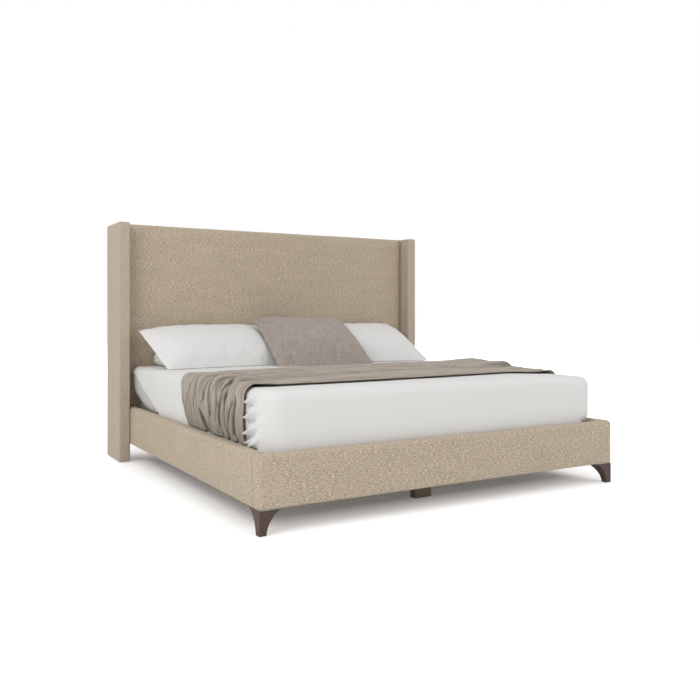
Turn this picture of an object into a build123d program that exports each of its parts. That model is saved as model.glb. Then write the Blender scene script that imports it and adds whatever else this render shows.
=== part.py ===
from build123d import *
import math
import os

# Upholstered wing bed with its bedding. Millimetres, X across, Y from foot to head, Z up.
# The origin is on the floor under the middle of the bed.

# Mattress and bedding
mattress_width = 1980
mattress_length = 1980
mattress_height = 292
mattress_corner = 92
mattress_edge = 38
ticking = 4
sheet_cloth = 1.5
cover_cloth = 6
layer_gap = 0.4
mattress_gap = 2.2
rest_gap = 0.3

# Rails
rail_thickness = 61.5
rail_height = 232
rail_lift = 110
rail_edge = 22
board_thickness = 27
cloth = 2.5
rail_inner_foam = 6
rail_top_foam = 14

# Headboard and wings
headboard_height = 1508
wing_thickness = 70
wing_depth = 310
wing_reveal = 102
wing_edge = 10
wing_foam = 10
wing_glide_height = 4
wing_glide_radius = 14
wing_glide_inset = 50
panel_foam = 45
panel_top_foam = 12
panel_edge = 26
face_board = 12
plank = 30
back_cloth = 1.5
back_recess = 7
mounting_block_width = 100
mounting_block_height = 114

# Slat base
slat_top = 296
slat_thickness = 20
slat_width = 70
slat_count = 14
slat_end_gap = 2
cleat_size = 30
beam_width = 40
beam_height = 70
hanger_steel = 3
hanger_reach = 50
hanger_flange = 20

# Centre legs
leg_width = 100
leg_thickness = 40
leg_setback = 243
leg_shift = -46
leg_cheek = 60
leg_pad = 3

# Front feet and corner blocks
foot_top = 102
foot_tip = 34
foot_inset = 5
foot_sag = 16
foot_glide_height = 2
foot_glide_radius = 12
foot_plate = 3
foot_plate_margin = 2
stud_radius = 4
stud_length = 36
corner_block = 60
corner_block_height = 130

# Head brackets
bracket_steel = 3
bracket_leg = 60
bracket_lift = 10
bracket_height = 120

# Bolts and screws
bolt_radius = 4
bolt_head_radius = 7.5
bolt_head = 5.5
bolt_bite = 20
bolt_pitch = 60
bolt_line = 35
bore_clearance = 0.3
screw_radius = 2.2
screw_head_radius = 4.6
screw_head = 2.6
slat_screw = 42
plate_screw = 28
wing_bolt_span_shares = (0.06, 0.35, 0.85)

# Pillows and cushion
pillow_width = 860
pillow_slant = 460
pillow_crown = 85
pillow_back = 12
pillow_tilt = 34
pillow_turn = 6.3
pillow_spread = 568
pillow_setback = 244
flat_pillow_width = 850
flat_pillow_depth = 350
flat_pillow_crown = 88
flat_pillow_back = 8
flat_pillow_spread = 475
flat_pillow_clear = 8
cushion_width = 660
cushion_slant = 500
cushion_crown = 95
cushion_back = 12
cushion_tilt = 36
cushion_turn = -6
cushion_shift = 93
cushion_setback = 384

# A pillow's stations across its half width, and its slant and crown at each
station_shares = (-1, -0.9, -0.68, -0.36, 0, 0.36, 0.68, 0.9, 1)
slant_shares = (0.9, 0.94, 0.975, 0.995, 1, 0.995, 0.975, 0.94, 0.9)
crown_shares = (0.08, 0.42, 0.76, 0.95, 1, 0.95, 0.76, 0.42, 0.08)

# Throw: a knitted band laid across the bed, with folds that run over the top and down both sides
throw_front = 182
throw_length = 1095
throw_cloth = 8
throw_fold = 14
throw_folds = 11
throw_clear = 0.4
throw_hem_gap = 2
throw_front_slant = 40
throw_back_slant = 330
throw_hem_rise_share = 0.88

# Both hems of the bedding climb towards the head
cover_hem = 304
cover_hem_reach = 583
cover_hem_rise = 245
sheet_hem = 330
sheet_hem_reach = 300
sheet_hem_rise = 92
hem_knee_reach_share = 0.33
hem_knee_rise_share = 0.53

os.makedirs("parts", exist_ok=True)

# Places worked out from the sizes
cover_grow = 2 * layer_gap + sheet_cloth + cover_cloth
bedded_half = mattress_width / 2 + cover_grow
bedded_length = mattress_length + 2 * cover_grow
rail_in = bedded_half + mattress_gap
rail_out = rail_in + rail_thickness
wing_out = rail_out + wing_thickness
bed_length = rail_thickness + 2 * mattress_gap + bedded_length - wing_reveal + wing_depth
foot_y = -bed_length / 2
foot_in = foot_y + rail_thickness
panel_face = foot_in + 2 * mattress_gap + bedded_length
bed_y = (foot_in + panel_face) / 2
wing_front = panel_face - wing_reveal
wing_back = wing_front + wing_depth
rail_top = rail_lift + rail_height
mattress_bottom = slat_top + rest_gap
mattress_top = mattress_bottom + mattress_height
bed_top = mattress_top + cover_grow
cloth_front = foot_in + mattress_gap
frame_front = panel_face + cloth + panel_foam + face_board
frame_back = wing_back - back_recess - back_cloth
frame_top = headboard_height - cloth - panel_top_foam
mounting_top = rail_lift + plank + mounting_block_height
cleat_top = slat_top - slat_thickness
beam_bottom = cleat_top - beam_height
stile_in = rail_out - plank
sides = (("left", -1), ("right", 1))
top_down = (Align.CENTER, Align.CENTER, Align.MAX)
bottom_up = (Align.CENTER, Align.CENTER, Align.MIN)


def block(x, y, z, mode=Mode.ADD):
    """A box between the given low and high X, Y and Z."""
    with Locations(((x[0] + x[1]) / 2, (y[0] + y[1]) / 2, (z[0] + z[1]) / 2)):
        Box(abs(x[1] - x[0]), abs(y[1] - y[0]), abs(z[1] - z[0]), mode=mode)


def fasteners(places, radius, head_radius, head):
    """Hexagon-headed bolts or screws, one for each (plane, length)."""
    for place, length in places:
        with BuildSketch(place) as shank:
            Circle(radius)
        extrude(shank.sketch, amount=length)
        with BuildSketch(place) as cap:
            RegularPolygon(head_radius, 6)
        extrude(cap.sketch, amount=-head)


def drill(places, radius):
    """Clearance holes for the fasteners in a list of (plane, length)."""
    for place, length in places:
        with BuildSketch(place) as bore:
            Circle(radius + bore_clearance)
        extrude(bore.sketch, amount=length + bore_clearance, mode=Mode.SUBTRACT)


def finish(piece, label):
    """Name the piece and write its file."""
    piece.label = label
    export_step(piece, f"parts/{label}.step")


# Fastener places, each a plane on the head's seat and a shank length
corner_bolts = []
bracket_bolts = []
wing_bolts_at = []
plate_screws_at = []
corner_bite = corner_block + cloth + rail_inner_foam + bolt_bite
bolt_floor = rail_lift + (corner_block_height - bolt_pitch) / 2
plate_lines_x = (rail_in - corner_block / 2, rail_in + cloth + rail_inner_foam + board_thickness / 2)
plate_lines_y = (foot_in - cloth - rail_inner_foam - board_thickness / 2, foot_in + corner_block / 2)
for name, s in sides:
    for row in range(2):
        along_y = (s * (rail_in - corner_block / 3), foot_in + corner_block, bolt_floor + row * bolt_pitch)
        corner_bolts.append((Plane(origin=along_y, z_dir=(0, -1, 0)), corner_bite))
        across_z = bolt_floor - bolt_pitch / 4 + row * bolt_pitch
        along_x = (s * (rail_in - corner_block), foot_in + corner_block / 3, across_z)
        corner_bolts.append((Plane(origin=along_x, z_dir=(s, 0, 0)), corner_bite))
        bracket_row = rail_lift + bracket_lift + bracket_height / 2 + (row - 1 / 2) * bolt_pitch
        on_rail = (s * (rail_in - bracket_steel), panel_face - bolt_line, bracket_row)
        rail_bite = bracket_steel + cloth + rail_inner_foam + bolt_bite
        bracket_bolts.append((Plane(origin=on_rail, z_dir=(s, 0, 0)), rail_bite))
        on_panel = (s * (rail_in - bolt_line), panel_face - bracket_steel, bracket_row)
        panel_bite = bracket_steel + cloth + panel_foam + face_board + 2 * bolt_bite
        bracket_bolts.append((Plane(origin=on_panel, z_dir=(0, 1, 0)), panel_bite))
    for share in wing_bolt_span_shares:
        bolt_z = mounting_top + (frame_top - mounting_top) * share
        on_stile = (s * stile_in, (frame_front + frame_back) / 2, bolt_z)
        wing_bite = plank + cloth + wing_foam + bolt_bite
        wing_bolts_at.append((Plane(origin=on_stile, z_dir=(s, 0, 0)), wing_bite))
    for line_x in plate_lines_x:
        for line_y in plate_lines_y:
            in_plate = (s * line_x, line_y, rail_lift - foot_plate + screw_head)
            plate_screws_at.append((Plane(origin=in_plate, z_dir=(0, 0, 1)), plate_screw))

leg_low = leg_shift - leg_width / 2
leg_high = leg_shift + leg_width / 2
leg_bite = -beam_width / 2 - leg_low + bolt_bite
leg_places = (
    ("front", foot_y + leg_setback),
    ("middle", bed_y - leg_thickness / 2),
    ("rear", panel_face - leg_setback - leg_thickness),
)
leg_screws_at = []
for label, leg_y in leg_places:
    for row in (1, 2):
        on_leg = (leg_low, leg_y + leg_thickness / 2, beam_bottom + leg_cheek * row / 3)
        leg_screws_at.append((Plane(origin=on_leg, z_dir=(1, 0, 0)), leg_bite))

flange_half = beam_width / 2 + hanger_steel + hanger_flange
hanger_ends = (
    ("foot", foot_in, 1, rail_inner_foam + bolt_bite),
    ("head", panel_face, -1, panel_foam + face_board),
)
hanger_screws_at = []
for end, face_y, inward, backing in hanger_ends:
    for side in (-1, 1):
        for row in (1, 3):
            screw_x = side * (flange_half - hanger_flange / 2)
            on_flange = (screw_x, face_y + inward * hanger_steel, beam_bottom + beam_height * row / 4)
            flange_bite = hanger_steel + cloth + backing
            hanger_screws_at.append((Plane(origin=on_flange, z_dir=(0, -inward, 0)), flange_bite))

frame_bolts_at = corner_bolts + bracket_bolts
frame_screws_at = plate_screws_at + hanger_screws_at

# Bed rails: a board, a foam wrap and a fabric cover that is open underneath
foot_board_y = (foot_in - cloth - rail_inner_foam - board_thickness, foot_in - cloth - rail_inner_foam)
outer_foam = rail_thickness - 2 * cloth - rail_inner_foam - board_thickness
board_z = (rail_lift + cloth, rail_top - cloth - rail_top_foam)
foam_z = (rail_lift + cloth, rail_top - cloth)
opened_z = (rail_lift, board_z[1])
foot_board_x = (-rail_out + cloth + outer_foam, rail_out - cloth - outer_foam)

with BuildPart() as foot_rail_board:
    block(foot_board_x, foot_board_y, board_z)
    drill(frame_bolts_at, bolt_radius)
    drill(frame_screws_at, screw_radius)
finish(foot_rail_board.part, "foot_rail_board")

with BuildPart() as foot_rail_foam:
    block((-rail_out + cloth, rail_out - cloth), (foot_y + cloth, foot_in - cloth), foam_z)
    rounded = foot_rail_foam.edges().group_by(Axis.Z)[-1]
    rounded += foot_rail_foam.edges().filter_by(Axis.Z).group_by(Axis.Y)[0]
    fillet(rounded, rail_edge - cloth)
    block(foot_board_x, foot_board_y, board_z, Mode.SUBTRACT)
    drill(frame_bolts_at, bolt_radius)
    drill(frame_screws_at, screw_radius)
finish(foot_rail_foam.part, "foot_rail_foam")

with BuildPart() as foot_rail_cover:
    block((-rail_out, rail_out), (foot_y, foot_in), (rail_lift, rail_top))
    rounded = foot_rail_cover.edges().group_by(Axis.Z)[-1]
    rounded += foot_rail_cover.edges().filter_by(Axis.Z).group_by(Axis.Y)[0]
    fillet(rounded, rail_edge)
    add(foot_rail_foam.part, mode=Mode.SUBTRACT)
    block(foot_board_x, foot_board_y, opened_z, Mode.SUBTRACT)
    drill(frame_bolts_at, bolt_radius)
    drill(frame_screws_at, screw_radius)
finish(foot_rail_cover.part, "foot_rail_cover")

side_y = (foot_in, panel_face)
for name, s in sides:
    board_in = rail_in + cloth + rail_inner_foam
    side_board_x = (s * board_in, s * (board_in + board_thickness))
    with BuildPart() as side_rail_board:
        block(side_board_x, side_y, board_z)
        drill(frame_bolts_at, bolt_radius)
        drill(plate_screws_at, screw_radius)
    finish(side_rail_board.part, f"{name}_rail_board")

    with BuildPart() as side_rail_foam:
        block((s * (rail_in + cloth), s * (rail_out - cloth)), side_y, foam_z)
        fillet(side_rail_foam.edges().filter_by(Axis.Y).group_by(Axis.Z)[-1], rail_edge - cloth)
        block(side_board_x, side_y, board_z, Mode.SUBTRACT)
        drill(frame_bolts_at, bolt_radius)
    finish(side_rail_foam.part, f"{name}_rail_foam")

    with BuildPart() as side_rail_cover:
        block((s * rail_in, s * rail_out), side_y, (rail_lift, rail_top))
        fillet(side_rail_cover.edges().filter_by(Axis.Y).group_by(Axis.Z)[-1], rail_edge)
        add(side_rail_foam.part, mode=Mode.SUBTRACT)
        block(side_board_x, side_y, opened_z, Mode.SUBTRACT)
        drill(frame_bolts_at, bolt_radius)
    finish(side_rail_cover.part, f"{name}_rail_cover")

# Headboard: planks between two stiles, a face board, a foam that wraps over the top and a cover
frame_y = (frame_front, frame_back)
face_y_span = (frame_front - face_board, frame_front)
behind_foam = (frame_front - face_board, frame_back)
for name, s in sides:
    with BuildPart() as stile:
        block((s * stile_in, s * rail_out), frame_y, (rail_lift, frame_top))
        drill(wing_bolts_at, bolt_radius)
    finish(stile.part, f"headboard_stile_{name}")

mounting_z = (rail_lift + plank, mounting_top)
with BuildPart() as headboard_blocks:
    for name, s in sides:
        block((s * (stile_in - mounting_block_width), s * stile_in), frame_y, mounting_z)
    drill(bracket_bolts, bolt_radius)
finish(headboard_blocks.part, "headboard_blocks")

plank_levels = (
    ("bottom", rail_lift),
    ("middle", (rail_lift + frame_top - plank) / 2),
    ("top", frame_top - plank),
)
for level, plank_z in plank_levels:
    with BuildPart() as cross_plank:
        block((-stile_in, stile_in), frame_y, (plank_z, plank_z + plank))
    finish(cross_plank.part, f"headboard_plank_{level}")

with BuildPart() as headboard_face_board:
    block((-rail_out, rail_out), face_y_span, (rail_lift, frame_top))
    drill(bracket_bolts, bolt_radius)
    drill(hanger_screws_at, screw_radius)
finish(headboard_face_board.part, "headboard_face_board")

with BuildPart() as headboard_foam:
    block((-rail_out, rail_out), (panel_face + cloth, frame_back), (rail_lift, headboard_height - cloth))
    top_edges = headboard_foam.edges().filter_by(Axis.X).group_by(Axis.Z)[-1]
    fillet(top_edges.sort_by(Axis.Y)[0], panel_edge - cloth)
    block((-rail_out, rail_out), behind_foam, (rail_lift, frame_top), Mode.SUBTRACT)
    drill(bracket_bolts, bolt_radius)
    drill(hanger_screws_at, screw_radius)
finish(headboard_foam.part, "headboard_foam")

with BuildPart() as headboard_cover:
    block((-rail_out, rail_out), (panel_face, frame_back), (rail_lift, headboard_height))
    top_edges = headboard_cover.edges().filter_by(Axis.X).group_by(Axis.Z)[-1]
    fillet(top_edges.sort_by(Axis.Y)[0], panel_edge)
    block((-rail_out, rail_out), behind_foam, (rail_lift, frame_top), Mode.SUBTRACT)
    add(headboard_foam.part, mode=Mode.SUBTRACT)
    drill(bracket_bolts, bolt_radius)
    drill(hanger_screws_at, screw_radius)
finish(headboard_cover.part, "headboard_cover")

with BuildPart() as headboard_back_cloth:
    block((-rail_out, rail_out), (frame_back, frame_back + back_cloth), (rail_lift, headboard_height))
finish(headboard_back_cloth.part, "headboard_back_cloth")

# Wings: a plywood core, a foam wrap and a cover, standing on two glides each
core_y = (wing_front + cloth + wing_foam, wing_back - cloth - wing_foam)
core_z = (wing_glide_height + cloth, headboard_height - cloth - wing_foam)
wrap_z = (wing_glide_height + cloth, headboard_height - cloth)
for name, s in sides:
    core_x = (s * (rail_out + cloth + wing_foam), s * (wing_out - cloth - wing_foam))
    with BuildPart() as wing_core:
        block(core_x, core_y, core_z)
        drill(wing_bolts_at, bolt_radius)
    finish(wing_core.part, f"wing_core_{name}")

    with BuildPart() as wing_wrap:
        wrap_y = (wing_front + cloth, wing_back - cloth)
        block((s * (rail_out + cloth), s * (wing_out - cloth)), wrap_y, wrap_z)
        fillet(wing_wrap.edges(), wing_edge - cloth)
        block(core_x, core_y, core_z, Mode.SUBTRACT)
        drill(wing_bolts_at, bolt_radius)
    finish(wing_wrap.part, f"wing_foam_{name}")

    with BuildPart() as wing_cover:
        block((s * rail_out, s * wing_out), (wing_front, wing_back), (wing_glide_height, headboard_height))
        fillet(wing_cover.edges(), wing_edge)
        add(wing_wrap.part, mode=Mode.SUBTRACT)
        block(core_x, core_y, (wing_glide_height, core_z[1]), Mode.SUBTRACT)
        drill(wing_bolts_at, bolt_radius)
    finish(wing_cover.part, f"wing_cover_{name}")

wing_middle = rail_out + wing_thickness / 2
glide_lines = (wing_front + wing_glide_inset, wing_back - wing_glide_inset)
glide_places = [(s * wing_middle, y, 0) for name, s in sides for y in glide_lines]
with BuildPart() as wing_glides:
    with Locations(*glide_places):
        Cylinder(wing_glide_radius, core_z[0], align=bottom_up)
finish(wing_glides.part, "wing_glides")

with BuildPart() as wing_bolts:
    fasteners(wing_bolts_at, bolt_radius, bolt_head_radius, bolt_head)
finish(wing_bolts.part, "wing_bolts")

with BuildPart() as frame_bolts:
    fasteners(frame_bolts_at, bolt_radius, bolt_head_radius, bolt_head)
finish(frame_bolts.part, "frame_bolts")

# Corner blocks at the foot and angle brackets at the head
block_y = (foot_in, foot_in + corner_block)
block_z = (rail_lift, rail_lift + corner_block_height)
bracket_z = (rail_lift + bracket_lift, rail_lift + bracket_lift + bracket_height)
with BuildPart() as corner_blocks:
    for name, s in sides:
        block((s * (rail_in - corner_block), s * rail_in), block_y, block_z)
    drill(corner_bolts, bolt_radius)
    drill(plate_screws_at, screw_radius)
finish(corner_blocks.part, "corner_blocks")

with BuildPart() as head_brackets:
    for name, s in sides:
        leg_y_span = (panel_face - bracket_leg, panel_face)
        steel_y_span = (panel_face - bracket_steel, panel_face)
        block((s * (rail_in - bracket_steel), s * rail_in), leg_y_span, bracket_z)
        block((s * (rail_in - bracket_leg), s * rail_in), steel_y_span, bracket_z)
    drill(bracket_bolts, bolt_radius)
finish(head_brackets.part, "head_brackets")

# Slat base: cleats along the rails, slats screwed to them, a beam under the slats
slat_pitch = (panel_face - foot_in) / slat_count
slat_lines = [foot_in + (i + 1 / 2) * slat_pitch for i in range(slat_count)]
cleat_line = rail_in - cleat_size / 2
slat_screw_places = [(s * cleat_line, y, slat_top) for y in slat_lines for name, s in sides]
screw_bore = screw_radius + bore_clearance
with BuildPart() as side_cleats:
    for name, s in sides:
        block((s * (rail_in - cleat_size), s * rail_in), side_y, (cleat_top - cleat_size, cleat_top))
    with Locations(*slat_screw_places):
        Cylinder(screw_bore, slat_screw + bore_clearance, align=top_down, mode=Mode.SUBTRACT)
finish(side_cleats.part, "side_cleats")

with BuildPart() as slats:
    for slat_y in slat_lines:
        block((-rail_in + slat_end_gap, rail_in - slat_end_gap),
              (slat_y - slat_width / 2, slat_y + slat_width / 2), (cleat_top, slat_top))
    with Locations(*slat_screw_places):
        Cylinder(screw_bore, slat_thickness, align=top_down, mode=Mode.SUBTRACT)
        Cone(screw_bore, screw_head_radius + bore_clearance, screw_head + bore_clearance,
             align=top_down, mode=Mode.SUBTRACT)
finish(slats.part, "slats")

with BuildPart() as slat_screws:
    with Locations(*slat_screw_places):
        Cylinder(screw_radius, slat_screw, align=top_down)
        Cone(screw_radius, screw_head_radius, screw_head, align=top_down)
finish(slat_screws.part, "slat_screws")

beam_x = (-beam_width / 2, beam_width / 2)
with BuildPart() as centre_beam:
    block(beam_x, (foot_in + hanger_steel, panel_face - hanger_steel), (beam_bottom, cleat_top))
    drill(leg_screws_at, bolt_radius)
finish(centre_beam.part, "centre_beam")

# Centre legs: boards set crosswise, notched so that a shoulder carries the beam
for label, leg_y in leg_places:
    leg_span = (leg_y, leg_y + leg_thickness)
    with BuildPart() as centre_leg:
        block((leg_low, leg_high), leg_span, (leg_pad, beam_bottom))
        block((leg_low, -beam_width / 2), leg_span, (beam_bottom, beam_bottom + leg_cheek))
        drill(leg_screws_at, bolt_radius)
    finish(centre_leg.part, f"centre_leg_{label}")

with BuildPart() as centre_leg_pads:
    for label, leg_y in leg_places:
        block((leg_low, leg_high), (leg_y, leg_y + leg_thickness), (0, leg_pad))
finish(centre_leg_pads.part, "centre_leg_pads")

with BuildPart() as centre_leg_screws:
    fasteners(leg_screws_at, bolt_radius, bolt_head_radius, bolt_head)
finish(centre_leg_screws.part, "centre_leg_screws")

# Steel hangers that hold the beam's two ends
hanger_z = (beam_bottom - hanger_steel, cleat_top)
for end, face_y, inward, backing in hanger_ends:
    cheek_x = (-beam_width / 2 - hanger_steel, beam_width / 2 + hanger_steel)
    plate_y = face_y + inward * hanger_steel
    with BuildPart() as hanger:
        block((-flange_half, flange_half), (face_y, plate_y), hanger_z)
        block(cheek_x, (face_y, face_y + inward * hanger_reach), hanger_z)
        block(beam_x, (plate_y, plate_y + inward * hanger_reach), (beam_bottom, cleat_top), Mode.SUBTRACT)
        drill(hanger_screws_at, screw_radius)
    finish(hanger.part, f"beam_hanger_{end}")

with BuildPart() as hanger_screws:
    fasteners(hanger_screws_at, screw_radius, screw_head_radius, screw_head)
finish(hanger_screws.part, "hanger_screws")

# Front feet: square at the top, drawn in to a small tip by two hollow inner curves
foot_z = (foot_glide_height, rail_lift - foot_plate)
foot_corner_x = rail_out - foot_inset
foot_corner_y = foot_y + foot_inset
stud_x = foot_corner_x - foot_top / 2
stud_y = foot_corner_y + foot_top / 2
stud_places = [(s * stud_x, stud_y, rail_lift) for name, s in sides]
for name, s in sides:
    with BuildPart() as front_foot:
        with BuildSketch(Plane(origin=(0, foot_corner_y, 0), x_dir=(s, 0, 0), z_dir=(0, -s, 0))):
            with BuildLine():
                Polyline((foot_corner_x - foot_tip, foot_z[0]), (foot_corner_x, foot_z[0]),
                         (foot_corner_x, foot_z[1]), (foot_corner_x - foot_top, foot_z[1]))
                heel = (foot_corner_x - foot_top, foot_z[1])
                SagittaArc(heel, (foot_corner_x - foot_tip, foot_z[0]), foot_sag)
            make_face()
        extrude(amount=-s * foot_top)
        with BuildSketch(Plane(origin=(s * foot_corner_x, 0, 0), x_dir=(0, 1, 0), z_dir=(1, 0, 0))):
            with BuildLine():
                Polyline((foot_corner_y + foot_tip, foot_z[0]), (foot_corner_y, foot_z[0]),
                         (foot_corner_y, foot_z[1]), (foot_corner_y + foot_top, foot_z[1]))
                heel = (foot_corner_y + foot_top, foot_z[1])
                SagittaArc(heel, (foot_corner_y + foot_tip, foot_z[0]), -foot_sag)
            make_face()
        extrude(amount=-s * foot_top, mode=Mode.INTERSECT)
        with Locations(*stud_places):
            Cylinder(stud_radius, stud_length + foot_plate, align=top_down, mode=Mode.SUBTRACT)
    finish(front_foot.part, f"front_foot_{name}")

plate_x = (foot_corner_x - foot_top + foot_plate_margin, foot_corner_x - foot_plate_margin)
plate_y = (foot_corner_y + foot_plate_margin, foot_corner_y + foot_top - foot_plate_margin)
with BuildPart() as foot_plates:
    for name, s in sides:
        block((s * plate_x[0], s * plate_x[1]), plate_y, (rail_lift - foot_plate, rail_lift))
    with Locations(*stud_places):
        Cylinder(stud_radius, foot_plate, align=top_down, mode=Mode.SUBTRACT)
    drill(plate_screws_at, screw_radius)
    for place, length in plate_screws_at:
        with BuildSketch(place) as recess:
            Circle(screw_head_radius + bore_clearance)
        extrude(recess.sketch, amount=-foot_plate, mode=Mode.SUBTRACT)
finish(foot_plates.part, "foot_plates")

with BuildPart() as plate_screws:
    fasteners(plate_screws_at, screw_radius, screw_head_radius, screw_head)
finish(plate_screws.part, "plate_screws")

tip_x = foot_corner_x - foot_tip / 2
tip_places = [(s * tip_x, foot_corner_y + foot_tip / 2, 0) for name, s in sides]
with BuildPart() as foot_glides:
    with Locations(*tip_places):
        Cylinder(foot_glide_radius, foot_glide_height, align=bottom_up)
finish(foot_glides.part, "foot_glides")

with BuildPart() as foot_studs:
    with Locations(*stud_places):
        Cylinder(stud_radius, stud_length + foot_plate, align=top_down)
finish(foot_studs.part, "foot_studs")


# Mattress and its layers are all one rounded form, grown by each layer's thickness
def bed_form(grow, low, high, rounded_below):
    """A rounded mattress shape, grown outwards, between two heights."""
    with BuildPart() as form:
        with BuildSketch(Plane.XY.offset(low)):
            with Locations((0, bed_y)):
                width, length = mattress_width + 2 * grow, mattress_length + 2 * grow
                RectangleRounded(width, length, mattress_corner + grow)
        extrude(amount=high - low)
        rims = form.faces().sort_by(Axis.Z)[-1].edges()
        if rounded_below:
            rims += form.faces().sort_by(Axis.Z)[0].edges()
        fillet(rims, mattress_edge + grow)
    return form.part


core_form = bed_form(-ticking, mattress_bottom + ticking, mattress_top - ticking, True)
with BuildPart() as mattress_core:
    add(core_form)
finish(mattress_core.part, "mattress_core")

zip_plane = Plane.XY.offset((mattress_bottom + mattress_top) / 2)
for half, kept in (("upper", Keep.TOP), ("lower", Keep.BOTTOM)):
    with BuildPart() as mattress_jacket:
        add(bed_form(0, mattress_bottom, mattress_top, True))
        add(core_form, mode=Mode.SUBTRACT)
        split(bisect_by=zip_plane, keep=kept)
    finish(mattress_jacket.part, f"mattress_cover_{half}")

bedding_layers = (
    ("fitted_sheet", layer_gap, sheet_cloth, sheet_hem, sheet_hem_reach, sheet_hem_rise),
    ("bed_cover", 2 * layer_gap + sheet_cloth, cover_cloth, cover_hem, cover_hem_reach, cover_hem_rise),
)
for label, inner, thickness, hem, reach, rise in bedding_layers:
    outer = inner + thickness
    rear = bed_y + bedded_length / 2
    with BuildPart() as bedding:
        add(bed_form(outer, hem, mattress_top + outer, False))
        add(bed_form(inner, hem, mattress_top + inner, False), mode=Mode.SUBTRACT)
        with BuildSketch(Plane(origin=(-rail_in, 0, 0), x_dir=(0, 1, 0), z_dir=(1, 0, 0))):
            with BuildLine():
                knee = (rear - reach * hem_knee_reach_share, hem + rise * hem_knee_rise_share)
                below = hem - cover_cloth
                Polyline((rear - reach, hem), knee, (rear, hem + rise), (panel_face, hem + rise),
                         (panel_face, below), (rear - reach, below), (rear - reach, hem))
            make_face()
        extrude(amount=2 * rail_in, mode=Mode.SUBTRACT)
    finish(bedding.part, label)


# Pillows and the cushion: crowned forms, thin at their ends, lofted across their width
def cushion_form(middle, turn, tilt, width, slant, crown, back):
    """Its middle is on the seam's plane, its slant climbs at tilt degrees, and turn swings it in plan."""
    across = Vector(math.cos(math.radians(turn)), math.sin(math.radians(turn)), 0)
    level = Vector(-across.Y, across.X, 0)
    climb = level * math.cos(math.radians(tilt)) + Vector(0, 0, 1) * math.sin(math.radians(tilt))
    with BuildPart() as form:
        for station, slant_share, crown_share in zip(station_shares, slant_shares, crown_shares):
            place = Vector(*middle) + across * (station * width / 2)
            half = slant * slant_share / 2
            with BuildSketch(Plane(origin=place, x_dir=climb, z_dir=across)):
                with BuildLine():
                    ThreePointArc((-half, 0), (0, crown * crown_share), (half, 0))
                    ThreePointArc((half, 0), (0, -back * crown_share), (-half, 0))
                make_face()
        loft()
    return form.part


def seated_middle(x, y, slant, tilt):
    """The middle of a cushion whose lower seam rests on the bed."""
    return (x, y, bed_top + rest_gap + math.sin(math.radians(tilt)) * slant / 2)


flat_y = panel_face - flat_pillow_clear - flat_pillow_depth / 2
flat_z = bed_top + rest_gap + flat_pillow_back
for name, s in sides:
    with BuildPart() as back_pillow:
        add(cushion_form((s * flat_pillow_spread, flat_y, flat_z), 0, 0,
                         flat_pillow_width, flat_pillow_depth, flat_pillow_crown, flat_pillow_back))
    finish(back_pillow.part, f"pillow_back_{name}")

    pillow_middle = seated_middle(s * pillow_spread, panel_face - pillow_setback, pillow_slant, pillow_tilt)
    with BuildPart() as front_pillow:
        add(cushion_form(pillow_middle, -s * pillow_turn, pillow_tilt,
                         pillow_width, pillow_slant, pillow_crown, pillow_back))
    finish(front_pillow.part, f"pillow_front_{name}")

cushion_middle = seated_middle(cushion_shift, panel_face - cushion_setback, cushion_slant, cushion_tilt)
with BuildPart() as throw_cushion:
    add(cushion_form(cushion_middle, cushion_turn, cushion_tilt,
                     cushion_width, cushion_slant, cushion_crown, cushion_back))
finish(throw_cushion.part, "throw_cushion")

# Throw: arch-shaped sections, thick on a fold and thin between, joined by straight faces
throw_half = bedded_half + throw_clear
throw_base = bed_top + rest_gap
throw_radius = mattress_edge + cover_grow
throw_start = cloth_front + throw_front
throw_low = rail_top + throw_hem_gap
throw_hem_rise = (throw_base - throw_radius - throw_low) * throw_hem_rise_share
with BuildPart() as throw:
    for i in range(2 * throw_folds + 1):
        run = i * throw_length / (2 * throw_folds)
        stand = throw_cloth + throw_fold * (i % 2)
        front_rise = max(0, 1 - run / throw_front_slant)
        back_rise = max(0, 1 - (throw_length - run) / throw_back_slant)
        hem = throw_low + throw_hem_rise * max(front_rise, back_rise)
        with BuildSketch(Plane(origin=(0, throw_start + run, 0), x_dir=(1, 0, 0), z_dir=(0, -1, 0))):
            with BuildLine():
                for grow in (0, stand):
                    half = throw_half + grow
                    crest = throw_base + grow
                    bend = throw_radius + grow
                    Line((-half, hem), (-half, crest - bend))
                    TangentArc((-half, crest - bend), (-half + bend, crest), tangent=(0, 1))
                    Line((-half + bend, crest), (half - bend, crest))
                    TangentArc((half - bend, crest), (half, crest - bend), tangent=(1, 0))
                    Line((half, crest - bend), (half, hem))
                Line((-throw_half - stand, hem), (-throw_half, hem))
                Line((throw_half, hem), (throw_half + stand, hem))
            make_face()
    loft(ruled=True)
finish(throw.part, "throw")
print(f"bed {2 * wing_out:.1f} wide, {bed_length:.1f} long, {headboard_height:.1f} high, top {bed_top:.1f}")
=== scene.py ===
import math

import bpy
import numpy as np
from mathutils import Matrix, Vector, noise


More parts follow.
